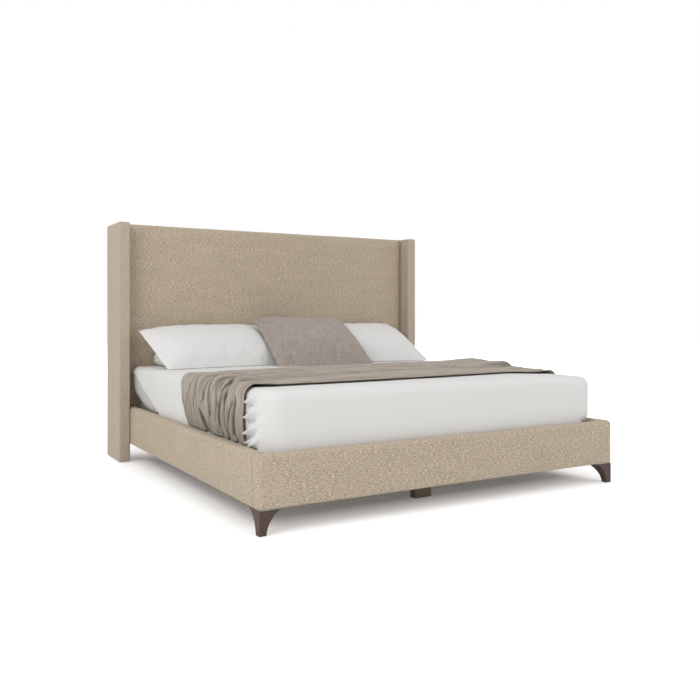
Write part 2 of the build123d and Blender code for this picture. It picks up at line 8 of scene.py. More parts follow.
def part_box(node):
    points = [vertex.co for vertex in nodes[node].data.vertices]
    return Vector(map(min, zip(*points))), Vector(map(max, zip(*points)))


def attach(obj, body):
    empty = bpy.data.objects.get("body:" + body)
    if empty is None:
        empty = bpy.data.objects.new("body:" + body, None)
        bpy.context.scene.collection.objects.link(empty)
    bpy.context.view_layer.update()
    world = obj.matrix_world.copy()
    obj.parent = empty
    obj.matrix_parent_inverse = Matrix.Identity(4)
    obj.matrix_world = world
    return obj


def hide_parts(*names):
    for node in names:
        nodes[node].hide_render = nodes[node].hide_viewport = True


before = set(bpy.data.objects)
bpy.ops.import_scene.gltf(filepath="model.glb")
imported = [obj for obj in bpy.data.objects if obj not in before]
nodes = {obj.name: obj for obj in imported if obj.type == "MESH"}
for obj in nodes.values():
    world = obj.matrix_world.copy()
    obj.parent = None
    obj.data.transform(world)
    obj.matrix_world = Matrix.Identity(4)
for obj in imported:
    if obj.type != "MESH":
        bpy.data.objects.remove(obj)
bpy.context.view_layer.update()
print("frame loaded,", len(nodes), "nodes")

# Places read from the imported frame, in metres
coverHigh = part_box("bed_cover")[1]
railLow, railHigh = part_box("foot_rail_cover")
bedTop = coverHigh.z
bedHalf = coverHigh.x
bedRear = coverHigh.y
footFace = railLow.y
railTop = railHigh.z
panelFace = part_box("headboard_cover")[0].y
bothSides = (("left", -1), ("right", 1))


# Noise at each point, from -1 to 1, always the same for the same seed
def ripple(points, perMetre, seed):
    shift = Vector((seed * 7.31, seed * 3.17, seed * 5.73))
    scale = np.asarray(perMetre, float) * np.ones(3)
    return np.array([noise.noise(Vector(p * scale) + shift) for p in np.asarray(points, float)])


# Rises from 0 to 1 without a corner while x does
def smooth(x):
    x = np.clip(x, 0, 1)
    return x * x * (3 - 2 * x)


# Rises from low to 1 while share does from 0 to 1
def atLeast(low, share):
    return low + (1 - low) * share


# The curve through knots that are rows of (place, value)
def alongKnots(x, knots):
    return np.interp(x, [k[0] for k in knots], [k[1] for k in knots])


def addObject(name, data):
    obj = bpy.data.objects.new(name, data)
    bpy.context.scene.collection.objects.link(obj)
    return obj


def makeObject(name, points, quads, uvs):
    mesh = bpy.data.meshes.new(name)
    mesh.from_pydata([tuple(p) for p in points], [], [tuple(q) for q in quads])
    layer = mesh.uv_layers.new(name="UVMap")
    layer.data.foreach_set("uv", np.asarray(uvs, np.float32).ravel())
    mesh.validate()
    mesh.polygons.foreach_set("use_smooth", [True] * len(mesh.polygons))
    return addObject(name, mesh)


def readVectors(mesh, field):
    values = np.empty(len(mesh.vertices) * 3, np.float32)
    mesh.vertices.foreach_get(field, values)
    return values.reshape(-1, 3).astype(float)


def readPoints(obj):
    return readVectors(obj.data, "co")


def readNormals(obj):
    return readVectors(obj.data, "normal")


def writePoints(obj, points):
    obj.data.vertices.foreach_set("co", np.asarray(points, np.float32).ravel())
    obj.data.update()


def setMaterial(obj, material):
    obj.data.materials.clear()
    obj.data.materials.append(material)


def dress(obj, material, body, slotName, *stoodFor):
    setMaterial(obj, material)
    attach(obj, body)
    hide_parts(*stoodFor)


# Links an output to a socket, or sets the socket to a number, a vector or a colour
def feed(tree, socket, value):
    if isinstance(value, bpy.types.NodeSocket):
        tree.links.new(value, socket)
    elif socket.type == "RGBA":
        socket.default_value = (*value, 1)
    else:
        socket.default_value = value


def addNode(tree, kind, inputs, **settings):
    node = tree.nodes.new(kind)
    for name, value in settings.items():
        setattr(node, name, value)
    for key, value in inputs.items():
        feed(tree, node.inputs[key], value)
    return node


def mathNode(tree, operation, *values):
    return addNode(tree, "ShaderNodeMath", dict(enumerate(values)), operation=operation).outputs[0]


def times(tree, a, b):
    return mathNode(tree, "MULTIPLY", a, b)


def plus(tree, a, b):
    return mathNode(tree, "ADD", a, b)


def joinNode(tree, *values):
    return addNode(tree, "ShaderNodeCombineXYZ", dict(enumerate(values))).outputs[0]


def splitNode(tree, vector):
    return addNode(tree, "ShaderNodeSeparateXYZ", {0: vector}).outputs


def mixColour(tree, factor, a, b):
    colourA, colourB = 6, 7
    node = addNode(tree, "ShaderNodeMix", {}, data_type="RGBA")
    for socket, value in ((0, factor), (colourA, a), (colourB, b)):
        feed(tree, node.inputs[socket], value)
    return node.outputs[2]


def mapNode(tree, vector, scale):
    return addNode(tree, "ShaderNodeMapping", {"Scale": scale, "Vector": vector}).outputs["Vector"]


def noiseNode(tree, vector, scale, detail, roughness):
    sockets = {"Vector": vector, "Scale": scale, "Detail": detail, "Roughness": roughness}
    return addNode(tree, "ShaderNodeTexNoise", sockets).outputs["Fac"]


def rampNode(tree, factor, stops):
    node = addNode(tree, "ShaderNodeValToRGB", {0: factor})
    elements = node.color_ramp.elements
    while len(elements) < len(stops):
        elements.new(0.5)
    for element, (place, value) in zip(elements, stops):
        element.position = place
        element.color = (value, value, value, 1)
    return node.outputs[0]


# A group that takes a vector and the named numbers
def newGroup(name, **numbers):
    tree = bpy.data.node_groups.new(name, "ShaderNodeTree")
    tree.interface.new_socket("Vector", in_out="INPUT", socket_type="NodeSocketVector")
    for label, value in numbers.items():
        tree.interface.new_socket(label, in_out="INPUT", socket_type="NodeSocketFloat").default_value = value
    return tree, tree.nodes.new("NodeGroupInput").outputs


def closeGroup(tree, **results):
    for label in results:
        tree.interface.new_socket(label, in_out="OUTPUT", socket_type="NodeSocketFloat")
    addNode(tree, "NodeGroupOutput", results)
    return tree


# Slubby yarns: dark and light flecks drawn out along the cloth, and a low height
slubSettings = dict(curls=60.0, curlAcross=0.004, curlAlong=0.010, flecks=265.0, loops=560.0, clouds=18.0,
                    loopHeight=0.5, lightStops=[(0.52, 0.0), (0.64, 1.0)], darkStops=[(0.36, 1.0), (0.48, 0.0)])


def buildSlubGroup(s):
    tree, start = newGroup("slubYarn", Scale=1.0, Stretch=0.5)
    x, y, z = splitNode(tree, start["Vector"])
    drawn = joinNode(tree, times(tree, x, start["Stretch"]), y, z)
    curl = noiseNode(tree, start["Vector"], times(tree, start["Scale"], s["curls"]), 2.0, 0.5)
    offset = joinNode(tree, times(tree, curl, s["curlAcross"]), times(tree, curl, s["curlAlong"]))
    bent = addNode(tree, "ShaderNodeVectorMath", {0: drawn, 1: offset}, operation="ADD").outputs[0]
    fine = noiseNode(tree, bent, times(tree, start["Scale"], s["flecks"]), 3.0, 0.68)
    loops = noiseNode(tree, drawn, times(tree, start["Scale"], s["loops"]), 2.0, 0.6)
    cloud = noiseNode(tree, drawn, times(tree, start["Scale"], s["clouds"]), 3.0, 0.6)
    return closeGroup(tree, Light=rampNode(tree, fine, s["lightStops"]), Dark=rampNode(tree, fine, s["darkStops"]),
                      Cloud=cloud, Height=plus(tree, fine, times(tree, loops, s["loopHeight"])))


# Plain weave: warp and weft threads crossing, with uneven yarns
weaveSettings = dict(yarnLength=14.0, yarnShift=3.7)


def buildWeaveGroup(s):
    tree, start = newGroup("plainWeave", Threads=900.0, Uneven=0.25, Slubs=700.0)
    parts = splitNode(tree, start["Vector"])
    waves = []
    for axis in (0, 1):
        turn = times(tree, parts[axis], start["Threads"])
        waves.append(mathNode(tree, "SINE", times(tree, turn, math.tau)))
    thread = mathNode(tree, "MULTIPLY_ADD", times(tree, *waves), 0.5, 0.5)
    yarns = []
    for long in (0, 1):
        lengths = [times(tree, parts[axis], s["yarnLength"] if axis == long else start["Slubs"]) for axis in (0, 1)]
        yarns.append(noiseNode(tree, joinNode(tree, *lengths, s["yarnShift"] * long), 1.0, 3.0, 0.7))
    streak = times(tree, plus(tree, *yarns), 0.5)
    return closeGroup(tree, Thread=thread, Streak=streak,
                      Height=plus(tree, thread, times(tree, streak, start["Uneven"])))


# Knitted ribs that run along the second axis
knitSettings = dict(bends=30.0, bend=0.5, fuzz=260.0, stitchHeight=0.35, fuzzHeight=0.6)


def buildKnitGroup(s):
    tree, start = newGroup("ribKnit", Ribs=110.0, Stitches=190.0)
    parts = splitNode(tree, start["Vector"])
    bend = noiseNode(tree, start["Vector"], s["bends"], 2.0, 0.5)
    wave = lambda turn: mathNode(tree, "ABSOLUTE", mathNode(tree, "SINE", times(tree, turn, math.pi)))
    rib = wave(plus(tree, times(tree, parts[0], start["Ribs"]), times(tree, bend, s["bend"])))
    stitch = wave(times(tree, parts[1], start["Stitches"]))
    fuzz = noiseNode(tree, start["Vector"], s["fuzz"], 3.0, 0.7)
    height = plus(tree, rib, times(tree, stitch, s["stitchHeight"]))
    return closeGroup(tree, Rib=rib, Fuzz=fuzz, Height=plus(tree, height, times(tree, fuzz, s["fuzzHeight"])))


# Long wood fibres with growth bands, along the given stretch
grainSettings = dict(bends=2.2, bandShare=0.6, bendShare=0.4, pores=90.0, poreStretch=(1.0, 1.0, 0.04), grainHeight=0.3)


def buildGrainGroup(s):
    tree, start = newGroup("woodGrain", Bands=22.0)
    bend = noiseNode(tree, start["Vector"], s["bends"], 3.0, 0.5)
    sockets = {"Vector": start["Vector"], "Scale": start["Bands"], "Distortion": 5.0, "Detail": 3.0}
    bands = addNode(tree, "ShaderNodeTexWave", sockets, wave_type="BANDS", bands_direction="X").outputs["Fac"]
    pore = noiseNode(tree, mapNode(tree, start["Vector"], s["poreStretch"]), s["pores"], 3.0, 0.6)
    grain = plus(tree, times(tree, bands, s["bandShare"]), times(tree, bend, s["bendShare"]))
    return closeGroup(tree, Grain=grain, Pore=pore, Height=plus(tree, times(tree, grain, s["grainHeight"]), pore))


# Rubbed places and fine scratches on hard parts
wearSettings = dict(patches=16.0, rubStops=[(0.5, 0.0), (0.72, 1.0)], lines=60.0, lineStretch=(1.0, 14.0, 1.0),
                    scratchStops=[(0.6, 0.0), (0.68, 1.0)])


def buildWearGroup(s):
    tree, start = newGroup("rubbedWear", Amount=0.5)
    patch = noiseNode(tree, start["Vector"], s["patches"], 4.0, 0.65)
    lines = noiseNode(tree, mapNode(tree, start["Vector"], s["lineStretch"]), s["lines"], 2.0, 0.5)
    return closeGroup(tree, Rub=times(tree, rampNode(tree, patch, s["rubStops"]), start["Amount"]),
                      Scratch=times(tree, rampNode(tree, lines, s["scratchStops"]), start["Amount"]))


slubYarn = buildSlubGroup(slubSettings)
plainWeave = buildWeaveGroup(weaveSettings)
ribKnit = buildKnitGroup(knitSettings)
woodGrain = buildGrainGroup(grainSettings)
rubbedWear = buildWearGroup(wearSettings)


def newMaterial(name):
    material = bpy.data.materials.new(name)
    material.use_nodes = True
    return material, material.node_tree


# The map in metres ("UV") or the object's own axes ("Object")
def coordinates(tree, kind, scale=(1, 1, 1)):
    return mapNode(tree, tree.nodes.new("ShaderNodeTexCoord").outputs[kind], scale)


def addGroup(tree, group, vector, **values):
    return addNode(tree, "ShaderNodeGroup", dict(values, Vector=vector), node_tree=group).outputs


# Sets the shader's own sockets and its bump
def finishMaterial(material, height, bump, bumpDepth, sockets):
    tree = material.node_tree
    shader = next(n for n in tree.nodes if n.type == "BSDF_PRINCIPLED")
    raised = addNode(tree, "ShaderNodeBump", {"Height": height, "Strength": bump, "Distance": bumpDepth})
    for label, value in dict(sockets, Normal=raised.outputs["Normal"]).items():
        feed(tree, shader.inputs[label], value)
    return material


def makeSlub(name, look):
    material, tree = newMaterial(name)
    yarn = addGroup(tree, slubYarn, coordinates(tree, "UV"), Scale=look["scale"], Stretch=look["stretch"])
    clouded = mixColour(tree, rampNode(tree, yarn["Cloud"], look["cloudStops"]), look["base"], look["cloud"])
    dark = mixColour(tree, times(tree, yarn["Dark"], look["darkShare"]), clouded, look["dark"])
    light = mixColour(tree, times(tree, yarn["Light"], look["lightShare"]), dark, look["light"])
    return finishMaterial(material, yarn["Height"], look["bump"], look["bumpDepth"], {
        "Base Color": light, "Roughness": 0.92, "Specular IOR Level": 0.2,
        "Sheen Weight": look["sheen"], "Sheen Roughness": 0.6})


def makeWoven(name, look):
    material, tree = newMaterial(name)
    weave = addGroup(tree, plainWeave, coordinates(tree, "UV"),
                     Threads=look["threads"], Uneven=look["uneven"], Slubs=look["slubs"])
    streak = times(tree, rampNode(tree, weave["Streak"], [(0.36, 0.0), (0.64, 1.0)]), look["streakShare"])
    coloured = mixColour(tree, streak, look["base"], look["streak"])
    threaded = mixColour(tree, times(tree, weave["Thread"], look["threadShare"]), coloured, look["thread"])
    return finishMaterial(material, weave["Height"], look["bump"], look["bumpDepth"], {
        "Base Color": threaded, "Roughness": look["roughness"], "Specular IOR Level": 0.25,
        "Sheen Weight": look["sheen"], "Sheen Roughness": 0.5})


def makeKnit(name, look):
    material, tree = newMaterial(name)
    vector = coordinates(tree, "UV")
    knit = addGroup(tree, ribKnit, vector, Ribs=look["ribs"], Stitches=look["stitches"])
    # Painted shade: the colour is darker between the ribs
    low = mixColour(tree, knit["Rib"], look["paintedRibShade"], look["base"])
    fuzzy = mixColour(tree, rampNode(tree, knit["Fuzz"], [(0.4, 0.0), (0.7, look["fuzzShare"])]), low, look["fuzz"])
    streak = noiseNode(tree, mapNode(tree, vector, look["streakScale"]), 1.0, 3.0, 0.65)
    streaks = rampNode(tree, streak, [(0.40, look["streakShare"]), (0.54, 0.0)])
    streaked = mixColour(tree, streaks, fuzzy, look["streak"])
    # The hollow attribute holds painted shade: it darkens the colour in the throw's grooves, hollows and hems
    hollow = addNode(tree, "ShaderNodeAttribute", {}, attribute_name="hollow").outputs["Fac"]
    return finishMaterial(material, knit["Height"], look["bump"], look["bumpDepth"], {
        "Base Color": mixColour(tree, times(tree, hollow, look["paintedShadeShare"]), streaked, look["paintedShadeColour"]),
        "Roughness": 0.95, "Specular IOR Level": 0.15, "Sheen Weight": 0.2, "Sheen Roughness": 0.6})


def makeTimber(name, look):
    material, tree = newMaterial(name)
    grain = addGroup(tree, woodGrain, coordinates(tree, "Object", look["along"]), Bands=look["bands"])
    wear = addGroup(tree, rubbedWear, coordinates(tree, "Object"), Amount=look["wear"])
    base = mixColour(tree, grain["Grain"], look["light"], look["dark"])
    pored = mixColour(tree, rampNode(tree, grain["Pore"], [(0.3, 0.5), (0.5, 0.0)]), base, look["pore"])
    return finishMaterial(material, grain["Height"], 0.25, 0.0008, {
        "Base Color": mixColour(tree, wear["Rub"], pored, look["light"]),
        "Roughness": mathNode(tree, "MULTIPLY_ADD", grain["Pore"], 0.2, look["roughness"] - 0.1),
        "Coat Weight": look["coat"], "Coat Roughness": 0.35})


def makeMetal(name, look):
    material, tree = newMaterial(name)
    wear = addGroup(tree, rubbedWear, coordinates(tree, "Object"), Amount=look["wear"])
    rubbed = mixColour(tree, wear["Rub"], look["base"], look["rub"])
    return finishMaterial(material, wear["Scratch"], 0.15, 0.0003, {
        "Base Color": mixColour(tree, wear["Scratch"], rubbed, look["scratch"]), "Metallic": look["metallic"],
        "Roughness": mathNode(tree, "MULTIPLY_ADD", wear["Rub"], -0.12, look["roughness"])})


def makeMatted(name, look):
    material, tree = newMaterial(name)
    cells = noiseNode(tree, coordinates(tree, "Object"), look["cells"], 3.0, 0.6)
    spots = rampNode(tree, cells, [(0.35, 0.0), (0.65, 1.0)])
    return finishMaterial(material, cells, look["bump"], 0.0008, {
        "Base Color": mixColour(tree, spots, look["base"], look["spot"]), "Roughness": look["roughness"]})


upholsteryLook = dict(scale=1.0, stretch=0.24, base=(0.425, 0.35, 0.26), cloud=(0.475, 0.393, 0.293),
                      dark=(0.15, 0.115, 0.078), light=(0.84, 0.75, 0.60), cloudStops=[(0.3, 0.0), (0.7, 1.0)],
                      darkShare=0.55, lightShare=0.52, sheen=0.06, bump=0.3, bumpDepth=0.0016)
wingLook = dict(upholsteryLook, scale=1.35, stretch=0.8, base=(0.435, 0.362, 0.288), cloud=(0.465, 0.39, 0.31),
                dark=(0.3, 0.245, 0.19), light=(0.6, 0.51, 0.41), darkShare=0.2, lightShare=0.18, sheen=0.12, bump=0.2)
coverLook = dict(threads=640.0, uneven=0.3, slubs=500.0, base=(0.69, 0.685, 0.67), streak=(0.73, 0.725, 0.71),
                 thread=(0.75, 0.745, 0.73), streakShare=0.5, threadShare=0.2, roughness=0.85, sheen=0.08,
                 bump=0.12, bumpDepth=0.0005)
# The fitted sheet is white cotton painted grey: painted shade for where it shows in the gap at the rear left, by the
# wing
paintedShadeSheetLook = dict(coverLook, base=(0.54, 0.53, 0.525), streak=(0.58, 0.57, 0.565), thread=(0.62, 0.61, 0.605))
pillowLook = dict(coverLook, base=(0.7, 0.695, 0.685), streak=(0.735, 0.73, 0.72))
# The ticking is a charcoal grey, a real mattress colour, and is this dark also as painted shade for the gap at the rear
# left
charcoalAndShadeTickingLook = dict(threads=260.0, uneven=0.5, slubs=300.0, base=(0.15, 0.145, 0.14), streak=(0.19, 0.185, 0.18),
                   thread=(0.24, 0.235, 0.23), streakShare=0.5, threadShare=0.3, roughness=0.9, sheen=0.08,
                   bump=0.3, bumpDepth=0.001)
cushionLook = dict(threads=300.0, uneven=1.6, slubs=190.0, base=(0.295, 0.245, 0.215), streak=(0.54, 0.475, 0.43),
                   thread=(0.42, 0.36, 0.32), streakShare=0.9, threadShare=0.25, roughness=0.9, sheen=0.12,
                   bump=0.7, bumpDepth=0.0018)
liningLook = dict(threads=500.0, uneven=0.4, slubs=400.0, base=(0.035, 0.034, 0.033), streak=(0.05, 0.048, 0.046),
                  thread=(0.06, 0.058, 0.056), streakShare=0.5, threadShare=0.3, roughness=0.9, sheen=0.05,
                  bump=0.3, bumpDepth=0.0006)
# Painted shade: the knit's colour is darker between its ribs, and in the throw's hollows and at its hems
throwLook = dict(ribs=150.0, stitches=210.0, base=(0.46, 0.392, 0.325), paintedRibShade=(0.34, 0.285, 0.23),
                 fuzz=(0.60, 0.53, 0.455), fuzzShare=0.55, streak=(0.25, 0.205, 0.155), streakShare=0.65,
                 streakScale=(48.0, 4.0, 1.0), paintedShadeColour=(0.075, 0.057, 0.038), paintedShadeShare=0.95, bump=0.8, bumpDepth=0.0015)
footWoodLook = dict(along=(5, 5, 1), bands=5.0, light=(0.090, 0.048, 0.035), dark=(0.055, 0.029, 0.021),
                    pore=(0.03, 0.016, 0.012), wear=0.2, roughness=0.5, coat=0.05)
legWoodLook = dict(along=(5, 5, 1), bands=5.0, light=(0.30, 0.225, 0.165), dark=(0.21, 0.155, 0.11),
                   pore=(0.12, 0.085, 0.06), wear=0.3, roughness=0.6, coat=0.0)
pineLook = dict(along=(1, 6, 6), bands=6.0, light=(0.68, 0.5, 0.3), dark=(0.56, 0.38, 0.2),
                pore=(0.42, 0.27, 0.14), wear=0.3, roughness=0.65, coat=0.0)
plyLook = dict(along=(6, 6, 1), bands=9.0, light=(0.62, 0.47, 0.3), dark=(0.5, 0.36, 0.21),
               pore=(0.36, 0.25, 0.14), wear=0.3, roughness=0.65, coat=0.0)
fibreLook = dict(cells=900.0, base=(0.42, 0.31, 0.19), spot=(0.34, 0.24, 0.14), roughness=0.8, bump=0.2)
feltLook = dict(cells=700.0, base=(0.06, 0.05, 0.045), spot=(0.1, 0.085, 0.075), roughness=0.95, bump=0.6)
glideLook = dict(cells=500.0, base=(0.03, 0.03, 0.031), spot=(0.045, 0.045, 0.046), roughness=0.45, bump=0.1)
zincLook = dict(base=(0.55, 0.55, 0.56), rub=(0.68, 0.68, 0.69), scratch=(0.4, 0.4, 0.41), metallic=1.0,
                roughness=0.38, wear=0.6)
bracketLook = dict(zincLook, base=(0.45, 0.45, 0.46), roughness=0.45)

upholstery = makeSlub("slubUpholstery", upholsteryLook)
wingCloth = makeSlub("wingUpholstery", wingLook)
coverCotton = makeWoven("washedCotton", coverLook)
sheetCotton = makeWoven("sheetCotton", paintedShadeSheetLook)
ticking = makeWoven("knittedTicking", charcoalAndShadeTickingLook)
pillowCotton = makeWoven("pillowCotton", pillowLook)
cushionLinen = makeWoven("taupeLinen", cushionLook)
throwKnit = makeKnit("taupeKnit", throwLook)
lining = makeWoven("blackLining", liningLook)
footWood = makeTimber("stainedFoot", footWoodLook)
legWood = makeTimber("stainedLeg", legWoodLook)
pineAcross = makeTimber("pineAcross", pineLook)
pineAlong = makeTimber("pineAlong", dict(pineLook, along=(6, 1, 6)))
pineUp = makeTimber("pineUp", dict(pineLook, along=(6, 6, 1)))
plywood = makeTimber("plywood", plyLook)
fibreboard = makeMatted("fibreboard", fibreLook)
felt = makeMatted("denseFelt", feltLook)
glidePlastic = makeMatted("glidePlastic", glideLook)
zincSteel = makeMetal("zincPlate", zincLook)
bracketSteel = makeMetal("bracketPlate", bracketLook)
print("materials made")

# Finishes of the CAD nodes that stay
cadFinishes = {
    footWood: ["front_foot_left", "front_foot_right"],
    legWood: ["centre_leg_front", "centre_leg_middle", "centre_leg_rear"],
    pineAcross: ["slats", "foot_rail_board", "headboard_plank_bottom", "headboard_plank_middle", "headboard_plank_top"],
    pineAlong: ["left_rail_board", "right_rail_board", "side_cleats", "centre_beam"],
    pineUp: ["corner_blocks", "headboard_blocks", "headboard_stile_left", "headboard_stile_right"],
    plywood: ["wing_core_left", "wing_core_right"],
    fibreboard: ["headboard_face_board"],
    felt: ["centre_leg_pads"],
    glidePlastic: ["foot_glides", "wing_glides"],
    zincSteel: ["frame_bolts", "wing_bolts", "slat_screws", "hanger_screws", "plate_screws", "centre_leg_screws",
                "foot_studs"],
    bracketSteel: ["beam_hanger_foot", "beam_hanger_head", "foot_plates", "head_brackets"],
}
for material, names in cadFinishes.items():
    for name in names:
        setMaterial(nodes[name], material)
print("frame finishes set")


# Places along one axis, close together round an edge
def edgeSteps(low, high, roundLow, roundHigh, step, extra=()):
    bends = [math.tan(math.radians(a)) for a in (45, 33.75, 22.5, 11.25, 0)]
    first = [low + roundLow * (1 - b) for b in bends] if roundLow else [low]
    last = [high - roundHigh * (1 - b) for b in reversed(bends)] if roundHigh else [high]
    count = max(2, round((last[0] - first[-1]) / step) + 1)
    values = sorted([*first, *np.linspace(first[-1], last[0], count), *last, *extra])
    kept = [values[0]]
    for value in values[1:]:
        if value - kept[-1] > 1e-4:
            kept.append(value)
    kept[-1] = high
    return kept


# The outside of a lattice box as points, quads and a flat map in metres
def latticeShell(xs, ys, zs, skip=lambda side, x, y, z: False, along="x"):
    last = (len(xs) - 1, len(ys) - 1, len(zs) - 1)
    found, points, quads, uvs = {}, [], [], []

    def vertex(key):
        if key not in found:
            found[key] = len(points)
            points.append((xs[key[0]], ys[key[1]], zs[key[2]]))
        return found[key]

    def flatPlace(side, x, y, z):
        if side in ("front", "back"):
            return (x if side == "front" else 2 * xs[-1] - x, z)
        if side in ("left", "right"):
            return (xs[0] - (y - ys[0]), z) if side == "left" else (xs[-1] + (y - ys[0]), z)
        if along == "y":
            return (y, zs[-1] + x)
        return (x, (zs[-1] + (y - ys[0])) if side == "top" else (zs[0] - (y - ys[0])))

    corners = {
        "front": lambda a, b: ((a, 0, b), (a + 1, 0, b), (a + 1, 0, b + 1), (a, 0, b + 1)),
        "back": lambda a, b: ((a + 1, last[1], b), (a, last[1], b), (a, last[1], b + 1), (a + 1, last[1], b + 1)),
        "left": lambda a, b: ((0, a + 1, b), (0, a, b), (0, a, b + 1), (0, a + 1, b + 1)),
        "right": lambda a, b: ((last[0], a, b), (last[0], a + 1, b), (last[0], a + 1, b + 1), (last[0], a, b + 1)),
        "top": lambda a, b: ((a, b, last[2]), (a + 1, b, last[2]), (a + 1, b + 1, last[2]), (a, b + 1, last[2])),
        "bottom": lambda a, b: ((a, b + 1, 0), (a + 1, b + 1, 0), (a + 1, b, 0), (a, b, 0)),
    }
    spans = {"front": (0, 2), "back": (0, 2), "left": (1, 2), "right": (1, 2), "top": (0, 1), "bottom": (0, 1)}
    for side, (first, second) in spans.items():
        for a in range(last[first]):
            for b in range(last[second]):
                keys = corners[side](a, b)
                spots = [(xs[i], ys[j], zs[k]) for i, j, k in keys]
                middle = np.mean(spots, 0)
                if skip(side, *middle):
                    continue
                quads.append([vertex(key) for key in keys])
                uvs += [flatPlace(side, *spot) for spot in spots]
    return np.array(points), quads, uvs


# Rounds the edges where two or more of the named sides meet
def roundBox(points, low, high, radius, sides):
    near = np.array([radius if s in sides else 0 for s in ("left", "front", "bottom")])
    far = np.array([radius if s in sides else 0 for s in ("right", "back", "top")])
    inner = np.clip(points, np.array(low) + near, np.array(high) - far)
    out = points - inner
    bent = (np.abs(out) > 1e-7).sum(1) >= 2
    length = np.linalg.norm(out, axis=1, keepdims=True)
    rounded = inner + out / np.maximum(length, 1e-9) * radius
    return np.where(bent[:, None], rounded, points)


# Rounds a slab: corner is the radius in plan, edge the radius of its top and bottom rims
def roundSlab(points, low, high, corner, edge, edgeBelow):
    low, high = np.array(low), np.array(high)
    plan = points[:, :2]
    middle = np.clip(plan, low[:2] + corner, high[:2] - corner)
    out = plan - middle
    length = np.linalg.norm(out, axis=1)
    widest = np.abs(out).max(1)
    inCorner = (np.abs(out) > 1e-7).all(1)
    direction = out / np.maximum(length, 1e-9)[:, None]
    # Distance in from the outline
    inside = corner - np.where(inCorner, widest, length)
    z = points[:, 2]
    newIn, newZ = inside.copy(), z.copy()
    for top, radius in ((True, edge), (False, edgeBelow)):
        if not radius:
            continue
        level = high[2] - radius if top else low[2] + radius
        beyond = (z - level) if top else (level - z)
        short = radius - inside
        bent = (beyond > 1e-7) & (short > 1e-7)
        size = np.sqrt(beyond ** 2 + short ** 2)
        newIn = np.where(bent, radius - radius * short / np.maximum(size, 1e-9), newIn)
        rise = radius * beyond / np.maximum(size, 1e-9)
        newZ = np.where(bent, level + rise if top else level - rise, newZ)
    placed = middle + direction * (corner - newIn)[:, None]
    return np.column_stack([placed, newZ])


# Layers of noise, each with its waves per metre and its height
def unevenHeight(points, amounts, seed):
    return sum(amount * ripple(points, perMetre, seed + i) for i, (perMetre, amount) in enumerate(amounts))


# Slight unevenness of stuffing under cloth, along the normals
def unevenStuffing(obj, amounts, seed):
    points, normals = readPoints(obj), readNormals(obj)
    writePoints(obj, points + normals * unevenHeight(points, amounts, seed)[:, None])


def addThickness(obj, thickness, offset=-1.0):
    wall = obj.modifiers.new("clothThickness", "SOLIDIFY")
    wall.thickness = thickness
    wall.offset = offset
    wall.use_even_offset = False


# Upholstered rails, headboard and wings
caseSettings = dict(cloth=0.0025, step=0.03, railRound=0.022, railUnder=0.009, sideCorner=0.03, panelRound=0.026,
                    wingRound=0.010)
boardLow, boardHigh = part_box("foot_rail_board")


# The cover and the foam under it as one padded shell round its board
def makeCase(name, cadNode, radius, roundSides, isOpen, seed, amounts, stops, shaper=None, along="x",
             material=upholstery, slotName="upholstery"):
    low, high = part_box(cadNode)
    lattice = []
    for axis, ends in (("x", ("left", "right")), ("y", ("front", "back")), ("z", ("bottom", "top"))):
        rounds = [radius if end in roundSides else 0 for end in ends]
        lattice.append(edgeSteps(getattr(low, axis), getattr(high, axis), *rounds, caseSettings["step"],
                                 stops.get(axis, ())))
    points, quads, uvs = latticeShell(*lattice, isOpen, along)
    points = shaper(points, low, high) if shaper else roundBox(points, low, high, radius, roundSides)
    obj = makeObject(name, points, quads, uvs)
    unevenStuffing(obj, amounts, seed)
    addThickness(obj, caseSettings["cloth"])
    dress(obj, material, "bed_frame", slotName, cadNode, cadNode.replace("cover", "foam"))


railAmounts = [(5.0, 0.0009), (22.0, 0.0004)]
panelAmounts = [(3.0, 0.0014), (14.0, 0.0006)]
wingAmounts = [(4.0, 0.0009), (18.0, 0.0003)]
underSteps = [railLow.z + caseSettings["railUnder"] * (1 - math.cos(math.radians(a))) for a in (30, 50, 70, 90)]


# Both ends of a side rail butt against something, and so does the inner face of the foot rail
def shapeSideRail(points, low, high):
    c, away = caseSettings, Vector((0, 1, 0))
    return roundSlab(points, low - away, high + away, c["sideCorner"], c["railRound"], c["railUnder"])


def shapeFootRail(points, low, high):
    r = caseSettings["railRound"]
    shaped = roundSlab(points, low, high + Vector((0, 1, 0)), r, r, caseSettings["railUnder"])
    inner = roundBox(shaped, low, high, r, ("back", "top"))
    free = np.abs(points[:, 0]) < bedHalf
    return np.where(free[:, None], inner, shaped)


# Under each board the cloth ends at the board's edges
def openUnder(low, high):
    return lambda side, x, y, z: side == "bottom" and low.y < y < high.y and low.x < x < high.x


makeCase("footRailCover", "foot_rail_cover", caseSettings["railRound"], ("left", "right", "front", "top"),
         openUnder(boardLow, boardHigh), 1, railAmounts,
         {"x": (boardLow.x, boardHigh.x), "y": (boardLow.y, boardHigh.y), "z": underSteps}, shapeFootRail)
for sideName, sign in bothSides:
    sideLow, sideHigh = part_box(sideName + "_rail_board")
    sideOpen = lambda side, x, y, z: side in ("front", "back") or side == "bottom" and sideLow.x < x < sideHigh.x
    makeCase(sideName + "RailCover", sideName + "_rail_cover", caseSettings["railRound"], ("left", "right", "top"),
             sideOpen, 3 + sign, railAmounts, {"x": (sideLow.x, sideHigh.x), "z": underSteps}, shapeSideRail, "y")

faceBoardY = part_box("headboard_face_board")[0].y
panelOpen = lambda side, x, y, z: side in ("back", "left", "right") or side == "bottom" and y > faceBoardY
makeCase("headboardCover", "headboard_cover", caseSettings["panelRound"], ("front", "top"), panelOpen, 7,
         panelAmounts, {"y": (faceBoardY,)})

